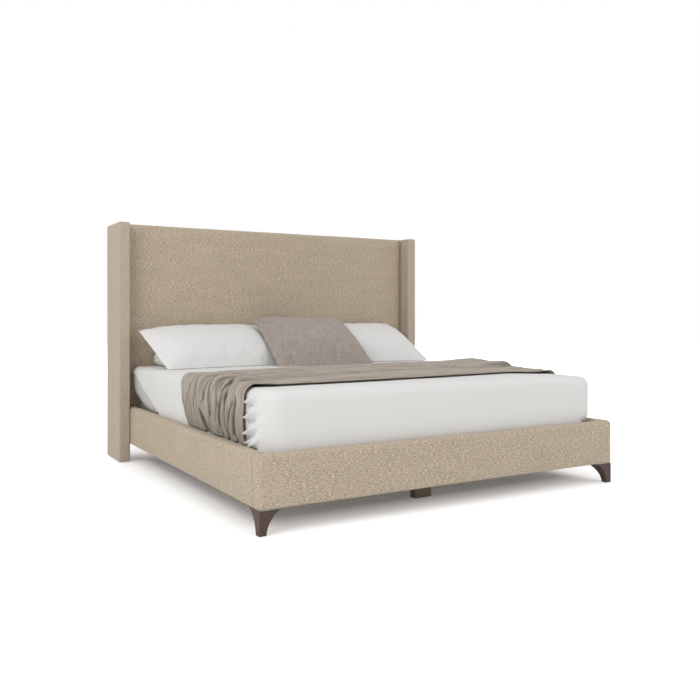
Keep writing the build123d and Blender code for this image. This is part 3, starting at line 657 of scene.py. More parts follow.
for sideName, sign in bothSides:
    coreLow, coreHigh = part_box("wing_core_" + sideName)
    makeCase("wingCover" + sideName.capitalize(), "wing_cover_" + sideName, caseSettings["wingRound"],
             ("left", "right", "front", "back", "top", "bottom"), openUnder(coreLow, coreHigh), 11 + sign, wingAmounts,
             {"x": (coreLow.x, coreHigh.x), "y": (coreLow.y, coreHigh.y)}, material=wingCloth,
             slotName="wing_upholstery")
print("upholstery made")

# Black lining on the back of the headboard
liningSettings = dict(margin=0.004, step=0.03, sag=0.0004, sagScale=9.0, cloth=0.0008)
backLow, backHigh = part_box("headboard_back_cloth")
b = liningSettings
backXs = edgeSteps(backLow.x + b["margin"], backHigh.x - b["margin"], 0, 0, b["step"])
backZs = edgeSteps(backLow.z + b["margin"], backHigh.z - b["margin"], 0, 0, b["step"])
backPoints = np.array([(x, backHigh.y, z) for z in backZs for x in backXs])
across = len(backXs)
backQuads = [(r * across + c + 1, r * across + c, (r + 1) * across + c, (r + 1) * across + c + 1)
             for r in range(len(backZs) - 1) for c in range(across - 1)]
backPoints[:, 1] -= b["sag"] * (1 + ripple(backPoints, b["sagScale"], 21))
backUvs = [(backPoints[i][0], backPoints[i][2]) for q in backQuads for i in q]
backCloth = makeObject("backLining", backPoints, backQuads, backUvs)
addThickness(backCloth, b["cloth"])
dress(backCloth, lining, "bed_frame", "back_cloth", "headboard_back_cloth")
print("lining made")

# Mattress, fitted sheet and bed cover
mattressSettings = dict(corner=0.092, edge=0.038, step=0.035, border=0.05, quilt=0.0035, quiltPitch=0.16)
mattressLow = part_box("mattress_cover_lower")[0]
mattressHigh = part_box("mattress_cover_upper")[1]
cornerShares = (0.25, 0.5, 0.75, 1)


def slabLattice(low, high, corner, edge, edgeBelow, step, skip, extraY=(), extraZ=()):
    def cornerStops(a, b):
        return [a + corner * t for t in cornerShares] + [b - corner * t for t in cornerShares]

    xs = edgeSteps(low[0], high[0], edge, edge, step, cornerStops(low[0], high[0]))
    ys = edgeSteps(low[1], high[1], edge, edge, step, [*cornerStops(low[1], high[1]), *extraY])
    zs = edgeSteps(low[2], high[2], edgeBelow, edge, step, extraZ)
    return latticeShell(xs, ys, zs, skip)


# The mattress gives a little at its right foot corner, and all that lies on it follows
dipSettings = dict(depth=0.016, rear=0.78, alongReach=0.4, left=0.55, acrossReach=0.42, under=0.42, upReach=0.16)


def softCorner(points):
    p = dipSettings
    x, yFoot, z = points[:, 0], points[:, 1] - footFace, points[:, 2]
    dip = p["depth"] * smooth((p["rear"] - yFoot) / p["alongReach"])
    dip = dip * smooth((x - p["left"]) / p["acrossReach"]) * smooth((z - p["under"]) / p["upReach"])
    return np.column_stack([x, points[:, 1], z - dip])


m = mattressSettings
points, quads, uvs = slabLattice(mattressLow, mattressHigh, m["corner"], m["edge"], m["edge"], m["step"],
                                 lambda side, x, y, z: False)
points = roundSlab(points, mattressLow, mattressHigh, m["corner"], m["edge"], m["edge"])
mattress = makeObject("mattress", points, quads, uvs)
points, normals = softCorner(readPoints(mattress)), readNormals(mattress)
middleZ = (mattressLow.z + mattressHigh.z) / 2
border = np.exp(-((points[:, 2] - middleZ) / m["border"]) ** 2)
puff = 0.5 + 0.5 * np.cos((points[:, 0] + points[:, 1]) * math.tau / m["quiltPitch"])
writePoints(mattress, points - normals * (m["quilt"] * border * puff)[:, None])
dress(mattress, ticking, "mattress", "ticking", "mattress_core", "mattress_cover_upper", "mattress_cover_lower")

# Both hems climb towards the head along the sides: knots of (distance from the rear, share of the rise)
coverSettings = dict(corner=0.092, rearCorner=0.050, edge=0.0459, step=0.022, cloth=0.004, hem=0.304, rise=0.243,
                     knots=[(-0.583, 0.0), (-0.469, 0.16), (-0.375, 0.31), (-0.292, 0.45), (-0.195, 0.64),
                            (-0.139, 0.85), (-0.092, 1.0)],
                     amounts=[((2.2, 2.2, 4.0), 0.0016), ((9.0, 9.0, 6.0), 0.0007)])
sheetSettings = dict(corner=0.092, rearCorner=0.044, edge=0.0399, step=0.035, cloth=0.0012, hem=0.330, rise=0.128,
                     knots=[(-0.300, 0.0), (-0.234, 0.09), (-0.153, 0.21), (-0.099, 0.44), (-0.043, 0.78), (0.0, 1.0)])
# Towards the head the bedding hangs loose and stands out over the rails
flareSettings = dict(out=0.034, start=1.78, alongReach=0.24, under=0.335, upReach=0.15, middle=0.78, acrossReach=0.2)
# Finer steps where the folds of the cover lie
spikeYs = np.arange(footFace + 0.08, footFace + 0.30, 0.006)
gatherYs = np.arange(footFace + 1.10, footFace + 1.85, 0.012)
foldZs = np.arange(0.31, 0.56, 0.0075)


def makeBedding(name, cadNode, s, extraY=(), extraZ=()):
    low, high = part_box(cadNode)
    low = Vector((low.x, low.y, s["hem"]))
    points, quads, uvs = slabLattice(low, high, s["corner"], s["edge"], 0, s["step"],
                                     lambda side, x, y, z: side == "bottom", extraY, extraZ)
    full = high.z - s["hem"]
    raised = s["rise"] * np.interp(points[:, 1], [bedRear + k[0] for k in s["knots"]], [k[1] for k in s["knots"]])
    points[:, 2] = high.z - (high.z - points[:, 2]) * (full - raised) / full
    isRear = points[:, 1] > (low.y + high.y) / 2
    shapes = [roundSlab(points, (low.x, low.y, 0), high, s[key], s["edge"], 0) for key in ("rearCorner", "corner")]
    points = np.where(isRear[:, None], *shapes)
    f = flareSettings
    outwards = f["out"] * smooth((points[:, 1] - footFace - f["start"]) / f["alongReach"])
    outwards = outwards * smooth((points[:, 2] - f["under"]) / f["upReach"])
    points[:, 0] += np.sign(points[:, 0]) * outwards * smooth((np.abs(points[:, 0]) - f["middle"]) / f["acrossReach"])
    return makeObject(name, points, quads, uvs)


fittedSheet = makeBedding("fittedSheet", "fitted_sheet", sheetSettings)
writePoints(fittedSheet, softCorner(readPoints(fittedSheet)))
addThickness(fittedSheet, sheetSettings["cloth"])
dress(fittedSheet, sheetCotton, "mattress", "sheet_cotton", "fitted_sheet")

bedCover = makeBedding("bedCover", "bed_cover", coverSettings, [*spikeYs, *gatherYs], foldZs)
points, normals = readPoints(bedCover), readNormals(bedCover)
x, yFoot, z = points[:, 0], points[:, 1] - footFace, points[:, 2]
height = unevenHeight(points, coverSettings["amounts"], 34)
# It tucks in a little just above the rails, at the right
tuckSettings = dict(depth=0.012, top=0.372, upReach=0.028, rear=0.5, alongReach=0.3, left=0.84, acrossReach=0.12)
k = tuckSettings
tuck = k["depth"] * smooth((k["top"] - z) / k["upReach"]) * (1 - smooth((yFoot - k["rear"]) / k["alongReach"]))
height = height - tuck * smooth((x - k["left"]) / k["acrossReach"])
# Pointed folds on the left side, pulled out by the throw's weight and ending at its edge: (tip's height, weight)
spikeSettings = dict(tips=[(0.540, 0.75), (0.471, 1.0), (0.400, 1.2), (0.358, 0.8), (0.334, 0.9)], height=0.028,
                     sideStart=0.075, sideReach=0.05, start=0.07, growth=0.17, growthPower=1.5, end=0.274, fade=0.010,
                     tipAt=0.25, length=0.16, climb=0.055, bend=0.02, tipWidth=0.014, spread=0.022, sharpness=1.3,
                     hollowAt=1.5, hollowShare=0.4)
k = spikeSettings
leftSide = smooth((-x - bedHalf + k["sideStart"]) / k["sideReach"])
reach = smooth((yFoot - k["start"]) / k["growth"]) ** k["growthPower"] * smooth((k["end"] - yFoot) / k["fade"])
back = (k["tipAt"] - yFoot) / k["length"]
width = k["tipWidth"] + k["spread"] * np.clip(back, 0, 1)
for tipZ, weight in k["tips"]:
    line = tipZ + k["climb"] * back + k["bend"] * back ** 2
    ridge = np.clip(1 - np.abs(z - line) / width, 0, 1) ** k["sharpness"]
    hollow = np.exp(-((z - line + k["hollowAt"] * width) / width) ** 2)
    height = height + k["height"] * weight * (ridge - k["hollowShare"] * hollow) * reach * leftSide
# Small upright folds along its hem behind the throw
gatherSettings = dict(height=0.0045, pitch=0.062, wander=2.2, top=0.425, upReach=0.07, start=1.10, startReach=0.1,
                      end=1.75, endReach=0.2)
k = gatherSettings
gathers = k["height"] * np.sin(yFoot * math.tau / k["pitch"] + k["wander"] * ripple(points, (1.0, 7.0, 1.0), 37))
gathers = gathers * smooth((k["top"] - z) / k["upReach"]) * smooth((yFoot - k["start"]) / k["startReach"])
height = height + gathers * smooth((k["end"] - yFoot) / k["endReach"]) * leftSide
writePoints(bedCover, softCorner(points + normals * height[:, None]))
addThickness(bedCover, coverSettings["cloth"])
dress(bedCover, coverCotton, "mattress", "cover_cotton", "bed_cover")
print("mattress and bedding made")

# The throw
throwSettings = dict(thickness=0.0045, low=railTop + 0.0025, radius=0.0463, base=bedTop + 0.0006,
                     half=bedHalf + 0.0008, rows=228, sideColumns=34, topColumns=112, cut=(1.35, 2.60), breadth=1.1,
                     fuzz=0.0012, fuzzScale=26.0, least=0.0004)
# Where its front and rear edges lie, from the left hem over the bed to the right hem, in metres from the foot
throwEdges = dict(
    place=(0.0, 0.05, 0.10, 0.14, 0.20, 0.35, 0.55, 0.75, 0.87, 0.92, 1.0),
    front=(0.258, 0.272, 0.262, 0.250, 0.256, 0.264, 0.285, 0.325, 0.365, 0.372, 0.350),
    rear=(1.012, 1.110, 1.138, 1.146, 1.210, 1.290, 1.335, 1.345, 1.330, 1.300, 1.180),
)
# Long folds over the top: knots of (along, across, height), and each fold's width
topFolds = [
    (0.060, [(0.04, 0.09, 0.000), (0.12, 0.10, 0.011), (0.30, 0.15, 0.017), (0.60, 0.13, 0.015), (0.90, 0.10, 0.006)]),
    (0.040, [(0.05, 0.24, 0.004), (0.13, 0.30, 0.020), (0.25, 0.42, 0.026), (0.45, 0.50, 0.021), (0.70, 0.54, 0.006)]),
    (0.036, [(0.05, 0.40, 0.005), (0.13, 0.49, 0.020), (0.24, 0.62, 0.022), (0.40, 0.70, 0.018), (0.62, 0.75, 0.006)]),
    (0.044, [(0.06, 0.66, 0.004), (0.13, 0.71, 0.015), (0.24, 0.82, 0.016), (0.45, 0.90, 0.014), (0.75, 0.91, 0.006)]),
]
# Grooves down the left side: depth, width and knots of (along, across)
sideGrooves = [
    (0.016, 0.010, [(0.009, 0.541), (0.029, 0.526), (0.049, 0.504), (0.070, 0.521), (0.082, 0.501), (0.093, 0.479),
                    (0.109, 0.516), (0.163, 0.80)]),
    (0.009, 0.008, [(0.053, 0.629), (0.065, 0.604), (0.077, 0.591), (0.089, 0.566), (0.109, 0.569), (0.140, 0.75)]),
    (0.016, 0.010, [(0.010, 0.343), (0.021, 0.356), (0.034, 0.358), (0.060, 0.336), (0.072, 0.316), (0.083, 0.291),
                    (0.101, 0.256), (0.122, 0.33)]),
    (0.011, 0.008, [(0.014, 0.404), (0.027, 0.411), (0.041, 0.401), (0.063, 0.371)]),
    (0.012, 0.011, [(0.011, 0.248), (0.022, 0.273), (0.043, 0.276), (0.062, 0.261), (0.074, 0.253), (0.088, 0.236)]),
    (0.015, 0.009, [(0.008, 0.221), (0.015, 0.228), (0.036, 0.213), (0.048, 0.190), (0.057, 0.178), (0.073, 0.150)]),
    (0.012, 0.014, [(0.008, 0.113), (0.013, 0.145), (0.037, 0.138), (0.059, 0.115), (0.081, 0.105)]),
    (0.008, 0.010, [(0.025, 0.792), (0.039, 0.787), (0.058, 0.767), (0.085, 0.724), (0.095, 0.719)]),
    (0.006, 0.010, [(0.043, 0.925), (0.056, 0.897), (0.069, 0.872), (0.093, 0.810)]),
    (0.016, 0.024, [(0.006, 0.620), (0.016, 0.640), (0.025, 0.652), (0.040, 0.675)]),
    (0.014, 0.012, [(0.036, 0.500), (0.045, 0.507), (0.056, 0.512)]),
]
# The bunched part at the right, behind a crease that runs forward to the right shoulder
bunchLine = [(0.50, 0.90), (0.634, 0.68), (0.707, 0.52), (0.76, 0.36), (0.893, 0.36), (1.0, 0.45)]
bunchRise = [(0.48, 0.0), (0.65, 0.008), (0.76, 0.015), (0.85, 0.024), (0.90, 0.021), (1.0, 0.008)]
bunchSettings = dict(wander=0.012, rise=0.07, end=1.02, endReach=0.22, waves=0.25, waveRate=19, waveShift=1.3)
# Side folds: broad rounded ridges, parted by narrow deep grooves and leaning over. They are weaker at places, near the
# top and towards the throw's edges and hems
foldSettings = dict(count=8.5, depth=0.021, wander=0.55, wanderScale=(3.2, 2.4, 1), fineWander=0.12,
                    fineScale=(5.0, 9.0, 1), topWander=0.02, roundness=0.55, secondCount=1.9, secondShift=0.37,
                    secondRoundness=0.8, level=0.62, grooveShare=0.18, secondShare=0.20, inFrom=0.20)
weakSettings = dict(strength=0.62, strengthScale=(6.0, 1, 1), weakest=0.8, top=0.55, fallRate=1.6, rear=0.45,
                    rearReach=0.14, front=0.2, frontReach=0.08, hem=0.35, hemReach=0.2)
leanSettings = dict(amount=0.004, shift=0.4, top=0.25, edgeReach=0.05)
# The throw's own grooves are cut a little deeper and wider than listed, and fade out at their ends
grooveSettings = dict(deeper=1.25, wider=1.3, wander=0.004, fade=0.012, hemStart=0.02)
# It stands up a little at its front and rear edge, over the bed more than at the sides
liftSettings = dict(front=0.009, frontReach=0.022, rear=0.004, rearReach=0.02, lessAtSides=0.8, sideReach=3)
# Painted shade: the knit's colour is darkened in its hollows and grooves and towards its hems, where shade falls
paintedShadeSettings = dict(grooveDepth=0.011, hollowDepth=0.015, window=12, every=3, top=0.25, sides=0.65, hem=0.48,
                     hemReach=0.085)


# A point and its outward normal along the arch over the bed, from the left hem to the right one
def archPlace(run, total, t):
    drop = t["base"] - t["radius"] - t["low"]
    side = np.where(run > total / 2, 1, -1)
    d = np.minimum(run, total - run)
    turn = np.clip((d - drop) / t["radius"], 0, math.pi / 2)
    inwards = np.maximum(d - drop - t["radius"] * math.pi / 2, 0)
    x = side * (t["half"] - t["radius"] + t["radius"] * np.cos(turn) - inwards)
    z = t["base"] - t["radius"] + t["radius"] * np.sin(turn) - np.maximum(drop - d, 0)
    return x, z, side * np.cos(turn), np.sin(turn)


t = throwSettings
sideRun = t["base"] - t["radius"] - t["low"] + t["radius"] * math.pi / 2
topRun = 2 * (t["half"] - t["radius"])
total = 2 * sideRun + topRun
runs = np.concatenate([np.linspace(0, sideRun, t["sideColumns"] + 1),
                       np.linspace(sideRun, sideRun + topRun, t["topColumns"] + 1)[1:],
                       np.linspace(sideRun + topRun, total, t["sideColumns"] + 1)[1:]])
runGrid, vGrid = np.meshgrid(runs, np.linspace(0, 1, t["rows"] + 1))
run, v = runGrid.ravel(), vGrid.ravel()
s = run / total
x, z, nx, nz = archPlace(run, total, t)
drop = np.clip((t["base"] - z) / (t["base"] - t["low"]), 0, 1)
front = np.interp(s, throwEdges["place"], throwEdges["front"])
rear = np.interp(s, throwEdges["place"], throwEdges["rear"])
spot = np.column_stack([x, footFace + front + (rear - front) * v, z])
f, w = foldSettings, weakSettings
alongBed, nowhere = v * t["breadth"], v * 0
wander = ripple(np.column_stack([run, alongBed, nowhere]), f["wanderScale"], 41)
fine = ripple(np.column_stack([run, alongBed, nowhere]), f["fineScale"], 44)
phase = v * f["count"] + f["wander"] * wander + f["fineWander"] * fine
groove = np.abs(np.sin(math.pi * phase)) ** f["roundness"]
second = np.abs(np.sin(math.pi * (phase * f["secondCount"] + f["secondShift"]))) ** f["secondRoundness"]
strength = atLeast(w["strength"], ripple(np.column_stack([alongBed, nowhere, nowhere]), w["strengthScale"], 42))
near = smooth(1 - (t["half"] - np.abs(x)) / f["inFrom"])
fallen = smooth(drop * w["fallRate"])
sideHeight = f["depth"] * (f["level"] + f["grooveShare"] * groove + f["secondShare"] * second)
sideHeight = sideHeight * atLeast(w["weakest"], strength) * atLeast(w["top"], fallen) * near
fading = 1 - w["rear"] * smooth((v - 1 + w["rearReach"]) / w["rearReach"])
fading = fading * (1 - w["front"] * smooth((w["frontReach"] - v) / w["frontReach"]))
sideHeight *= fading * (1 - w["hem"] * smooth((drop - 1 + w["hemReach"]) / w["hemReach"]))
grooved = np.zeros_like(s)
g = grooveSettings
for depth, width, knots in sideGrooves:
    first, last = knots[0][0], knots[-1][0]
    gap = (v - alongKnots(s, knots) - g["wander"] * fine) * (rear - front)
    fades = smooth((last + g["fade"] - s) / (2 * g["fade"]))
    if first >= g["hemStart"]:
        fades = fades * smooth((s - first + g["fade"]) / (2 * g["fade"]))
    grooved = np.maximum(grooved, g["deeper"] * depth * fades * np.exp(-(gap / (g["wider"] * width)) ** 2))
topHeight = np.zeros_like(s)
for width, knots in topFolds:
    path = alongKnots(s, knots) + f["topWander"] * wander
    amount = alongKnots(s, [(0.0, 0.0), *((k[0], k[2]) for k in knots), (1.0, 0.0)])
    topHeight += amount * np.exp(-((v - path) / width) ** 2)
b = bunchSettings
behind = v - (alongKnots(s, bunchLine) + b["wander"] * fine)
bunch = alongKnots(s, bunchRise) * smooth(behind / b["rise"]) * smooth((b["end"] - v) / b["endReach"])
topHeight += bunch * (1 + b["waves"] * np.sin(behind * b["waveRate"] + b["waveShift"]))
e = liftSettings
lift = e["front"] * np.exp(-(v / e["frontReach"]) ** 2) + e["rear"] * np.exp(-((1 - v) / e["rearReach"]) ** 2)
lift *= 1 - e["lessAtSides"] * smooth(drop * e["sideReach"])
height = sideHeight + topHeight - grooved + lift + t["fuzz"] * (1 + ripple(spot, t["fuzzScale"], 43))
height = np.maximum(height, t["least"])
n = leanSettings
leaning = n["amount"] * np.sin(math.tau * phase + n["shift"]) * strength * near * atLeast(n["top"], fallen)
spot[:, 1] += leaning * smooth(v / n["edgeReach"]) * smooth((1 - v) / n["edgeReach"])
points = softCorner(spot + np.column_stack([nx, np.zeros_like(nx), nz]) * height[:, None])
wide = len(runs)
quads = [(r * wide + c, r * wide + c + 1, (r + 1) * wide + c + 1, (r + 1) * wide + c)
         for r in range(t["rows"]) for c in range(wide - 1)]
flatPlaces = np.column_stack([v * t["cut"][0], run])
uvs = flatPlaces[np.array(quads).ravel()]
throw = makeObject("throw", points, quads, uvs)
c = paintedShadeSettings
heightGrid = height.reshape(t["rows"] + 1, wide)
padded = np.pad(heightGrid, ((c["window"], c["window"]), (0, 0)), mode="edge")
crest = np.max([padded[k:k + t["rows"] + 1] for k in range(0, 2 * c["window"] + 1, c["every"])], axis=0)
paintedShade = (c["top"] + c["sides"] * near) * smooth((crest - heightGrid).ravel() / c["hollowDepth"])
paintedHemShade = c["hem"] * smooth((c["hemReach"] - np.minimum(s, 1 - s)) / c["hemReach"])
paintedShade = np.max([smooth(grooved / c["grooveDepth"]), paintedShade, paintedHemShade], axis=0)
# The painted shade goes into the hollow attribute, which darkens the knit's colour in its material
hollow = throw.data.attributes.new("hollow", "FLOAT", "POINT")
hollow.data.foreach_set("value", paintedShade.astype(np.float32))
addThickness(throw, t["thickness"], 1.0)
dress(throw, throwKnit, "throw", "throw_knit", "throw")
print("throw made")


# Pillows and cushion. Their cells crowd towards the seam
seamCrowding = 1.45


def crowded(i, count):
    return math.sin((2 * i / count - 1) * seamCrowding) / math.sin(seamCrowding)


# Two crowned layers sewn round the edge, as a grid of u along the width and w along the slant
def sewnCase(name, place, s, seed):
    nx, ny = s["cells"]
    index, points, quads, uvs = {}, [], [], []
    width, depth = place["width"], place["depth"]

    def keyOf(i, j, layer):
        return (i, j) if i in (0, nx) or j in (0, ny) else (i, j, layer)

    for layer in (1, -1):
        for j in range(ny + 1):
            for i in range(nx + 1):
                key = keyOf(i, j, layer)
                if key not in index:
                    index[key] = len(points)
                    points.append((crowded(i, nx), crowded(j, ny), layer if len(key) == 3 else 0))
    for layer in (1, -1):
        mapShift = 0 if layer > 0 else s["mapGap"]
        for j in range(ny):
            for i in range(nx):
                around = [(i, j), (i + 1, j), (i + 1, j + 1), (i, j + 1)][::layer]
                quads.append([index[keyOf(a, b, layer)] for a, b in around])
                uvs += [(points[k][0] * width / 2 + mapShift, points[k][1] * depth / 2) for k in quads[-1]]
    u, w, layer = np.array(points, float).T
    belly = np.clip(w + s["sag"] * (1 - w ** 2), -1, 1)
    full = np.clip(1 - np.abs(u) ** s["endPower"], 0, 1) ** s["endSoft"]
    full = full * np.clip(1 - belly ** 2, 0, 1) ** s["slantSoft"]
    under = full if place.get("evenUnder") else np.clip(1 - u ** 4, 0, 1) * (1 - w ** 2)
    thick = np.where(layer > 0, place["crown"] * full, -place["back"] * under)
    thick[layer == 0] = 0
    shaped = np.column_stack([u * width / 2 * (1 - s["pullIn"] * (1 - w ** 2)),
                              w * depth / 2 * (1 - s["pullIn"] * (1 - u ** 2)), thick])
    for sideU, sideW, du, dw, powerU, powerW in place["corners"]:
        weight = ((1 + sideU * u) / 2) ** powerU * ((1 + sideW * w) / 2) ** powerW
        shaped[:, 0] += du * weight
        shaped[:, 1] += dw * weight
    shaped[:, 2] += s["uneven"] * ripple(shaped, s["unevenScale"], seed) * layer
    obj = makeObject(name, shaped, quads, uvs)
    seam = obj.vertex_groups.new(name="seam")
    seam.add([int(i) for i in np.flatnonzero(layer == 0)], 1.0, "REPLACE")
    return obj, u, w, layer


def evaluatedMesh(obj):
    return bpy.data.meshes.new_from_object(obj.evaluated_get(bpy.context.evaluated_depsgraph_get()))


# Pressure inside the pinned seam rounds the case, each place by no more than the cap
def blowUp(obj, s):
    cloth = obj.modifiers.new("cloth", "CLOTH")
    c = cloth.settings
    c.quality = s["quality"]
    c.mass = s["mass"]
    c.tension_stiffness = c.compression_stiffness = s["stiffness"]
    c.shear_stiffness = s["stiffness"] * s["shearShare"]
    c.bending_stiffness = s["bending"]
    c.use_pressure = True
    c.uniform_pressure_force = s["pressure"]
    c.vertex_group_mass = "seam"
    c.shrink_min = -s["slack"]
    c.effector_weights.gravity = 0
    cloth.point_cache.frame_start, cloth.point_cache.frame_end = 1, s["frames"]
    scene = bpy.context.scene
    for step in range(1, s["frames"] + 1):
        scene.frame_set(step)
    mesh = evaluatedMesh(obj)
    obj.modifiers.remove(cloth)
    moved = readVectors(mesh, "co")
    bpy.data.meshes.remove(mesh)
    scene.frame_set(1)
    start = readPoints(obj)
    shift = moved - start
    size = np.linalg.norm(shift, axis=1, keepdims=True)
    writePoints(obj, start + shift * np.minimum(1, s["cap"] / np.maximum(size, 1e-9)))


# Creases pressed into or standing out of the front layer, each (u, w) to (u, w) with a width and a height
def addCreases(obj, u, w, layer, place, creases):
    points, normals = readPoints(obj), readNormals(obj)
    flat = np.column_stack([u * place["width"] / 2, w * place["depth"] / 2])
    height = np.zeros(len(flat))
    for (u0, w0), (u1, w1), width, amount in creases:
        a = np.array((u0 * place["width"] / 2, w0 * place["depth"] / 2))
        b = np.array((u1 * place["width"] / 2, w1 * place["depth"] / 2))
        share = np.clip(((flat - a) @ (b - a)) / ((b - a) @ (b - a)), 0, 1)
        away = np.linalg.norm(flat - a - share[:, None] * (b - a), axis=1)
        height += amount * np.exp(-(away / width) ** 2) * np.sin(np.clip(share, 0.04, 0.96) * math.pi) ** 0.5
    height *= (layer > 0)
    writePoints(obj, points + normals * height[:, None])


def makePillow(name, body, node, place, s, material, slotName, seed, creases):
    obj, u, w, layer = sewnCase(name, place, s, seed)
    blowUp(obj, s)
    addCreases(obj, u, w, layer, place, creases)
    x, y, z = readPoints(obj).T[:, :, None]
    turn, tilt = math.radians(place["turn"]), math.radians(place["tilt"])
    acrossWay = np.array((math.cos(turn), math.sin(turn), 0))
    level = np.array((-acrossWay[1], acrossWay[0], 0))
    climb = level * math.cos(tilt) + np.array((0, 0, 1)) * math.sin(tilt)
    points = np.array(place["middle"]) + x * acrossWay + y * climb + z * np.cross(acrossWay, climb)
    points[:, 2] = np.maximum(points[:, 2], bedTop + s["clearance"])
    writePoints(obj, points)
    finer = obj.modifiers.new("finer", "SUBSURF")
    finer.levels = finer.render_levels = 1
    dress(obj, material, body, slotName, node)


# The middle of a pillow that leans with its lower edge on the cover
def seatedMiddle(x, place):
    rise = math.sin(math.radians(place["tilt"])) * place["depth"] / 2
    return (x, panelFace - place["ahead"], bedTop + place["seat"] + rise)


pillowSettings = dict(cells=(88, 48), sag=0.12, endPower=4.6, endSoft=0.8, slantSoft=0.62, pullIn=0.012, mapGap=2.0,
                      uneven=0.0015, unevenScale=11.0, quality=6, mass=0.3, stiffness=14.0, shearShare=0.4, bending=0.8,
                      pressure=3.0, slack=0.010, frames=18, cap=0.012, clearance=0.0012, fill=0.7)
cushionSettings = dict(pillowSettings, cells=(76, 58), sag=0.08, bending=0.5, slack=0.024, cap=0.015, fill=0.75)
backSettings = dict(pillowSettings, cells=(72, 34), sag=0.0, slantSoft=0.25, endPower=12.0, endSoft=0.36)
# How corners are pulled: a corner's two signs, its shifts along and up the slant, and two powers that keep them local
backCorners = [(a, b, -a * 0.030, -b * 0.026, 9, 7) for a in (-1, 1) for b in (-1, 1)]
leftCorners = [(-1, 1, -0.012, -0.062, 5, 2), (-1, -1, 0.034, 0.0, 2, 2), (1, -1, 0.014, 0.0, 1, 1),
               (1, 1, 0.0, -0.010, 2, 2)]
rightCorners = [(1, 1, -0.118, -0.006, 3, 1.1), (1, 1, 0.0, -0.024, 5, 3), (-1, 1, 0.0, -0.010, 2, 2)]
cushionCorners = [(-1, 1, -0.024, 0.010, 1, 1), (1, 1, -0.044, -0.004, 1, 1), (1, -1, 0.030, 0.0, 1, 1),
                  (-1, -1, 0.012, -0.004, 1, 1)]
leftCreases = [((-0.99, -0.86), (-0.80, -0.18), 0.013, -0.011), ((-0.84, -0.26), (-0.28, 0.44), 0.014, -0.009),
               ((0.35, -0.86), (0.62, -0.45), 0.014, -0.004), ((0.72, 0.92), (0.97, 0.1), 0.016, -0.004)]
rightCreases = [((-0.2, 0.9), (0.55, 0.35), 0.02, -0.003), ((0.98, 0.95), (0.55, 0.2), 0.016, -0.005),
                ((0.98, -0.98), (0.6, 0.1), 0.018, -0.006)]
cushionCreases = [((-0.98, -0.98), (-0.48, -0.02), 0.014, 0.014), ((-0.99, -0.62), (-0.60, 0.10), 0.013, -0.012),
                  ((-0.97, 0.15), (-0.56, -0.35), 0.010, -0.009), ((-0.97, 0.40), (-0.48, -0.15), 0.010, -0.009),
                  ((-0.96, 0.62), (-0.50, 0.10), 0.010, -0.009), ((-0.94, 0.82), (-0.54, 0.35), 0.010, -0.008),
                  ((-0.80, -0.95), (-0.42, -0.28), 0.011, -0.009), ((-0.30, 0.95), (-0.05, 0.2), 0.018, -0.005),
                  ((0.2, 0.95), (0.35, -0.9), 0.02, -0.002)]
backPlace = dict(width=0.87, depth=0.35, crown=0.058, back=0.042, turn=0, tilt=0, corners=backCorners, evenUnder=True,
                 side=0.480, gap=0.008, lift=0.0435)
frontPlace = dict(width=0.86, depth=0.468, crown=0.088, back=0.012, tilt=34, turn=6.3, side=0.568, ahead=0.241,
                  seat=0.0003)
cushionPlace = dict(width=0.66, depth=0.51, crown=0.097, back=0.012, turn=-6, tilt=36, corners=cushionCorners,
                    side=0.090, ahead=0.380, seat=0.0003)
frontShapes = dict(left=(leftCorners, leftCreases), right=(rightCorners, rightCreases))
for sideName, sign in bothSides:
    p, f = backPlace, frontPlace
    backMiddle = (sign * p["side"], panelFace - p["gap"] - p["depth"] / 2, bedTop + p["lift"])
    makePillow("backPillow" + sideName.capitalize(), "back_pillow_" + sideName, "pillow_back_" + sideName,
               dict(p, middle=backMiddle), backSettings, pillowCotton, "pillow_cotton", 51 + sign, [])
    corners, creases = frontShapes[sideName]
    place = dict(f, turn=-sign * f["turn"], corners=corners, middle=seatedMiddle(sign * f["side"], f))
    makePillow("frontPillow" + sideName.capitalize(), "front_pillow_" + sideName, "pillow_front_" + sideName,
               place, pillowSettings, pillowCotton, "pillow_cotton", 55 + sign, creases)
place = dict(cushionPlace, middle=seatedMiddle(cushionPlace["side"], cushionPlace))
makePillow("taupeCushion", "cushion", "throw_cushion", place, cushionSettings, cushionLinen, "cushion_linen", 61,
           cushionCreases)
print("pillows and cushion made")


# Staples round the lining and piping round the mattress, by Geometry Nodes
def loopCurve(name, places):
    curve = bpy.data.curves.new(name, "CURVE")
    curve.dimensions = "3D"
    spline = curve.splines.new("POLY")
    spline.points.add(len(places) - 1)
    for point, spotPlace in zip(spline.points, places):
        point.co = (*spotPlace, 1)
    spline.use_cyclic_u = True
    return addObject(name, curve)


# A tree that takes a curve, the named numbers and a material
def geometryTree(name, **numbers):
    tree = bpy.data.node_groups.new(name, "GeometryNodeTree")
    tree.interface.new_socket("Geometry", in_out="INPUT", socket_type="NodeSocketGeometry")
    for label, value in numbers.items():
        tree.interface.new_socket(label, in_out="INPUT", socket_type="NodeSocketFloat").default_value = value
    tree.interface.new_socket("Finish", in_out="INPUT", socket_type="NodeSocketMaterial")
    tree.interface.new_socket("Geometry", in_out="OUTPUT", socket_type="NodeSocketGeometry")
    return tree, tree.nodes.new("NodeGroupInput").outputs


def closeTree(tree, geometry, finish):
    real = addNode(tree, "GeometryNodeRealizeInstances", {"Geometry": geometry}).outputs["Geometry"]
    dressed = addNode(tree, "GeometryNodeSetMaterial", {"Geometry": real, "Material": finish}).outputs["Geometry"]
    addNode(tree, "NodeGroupOutput", {"Geometry": dressed})
    return tree


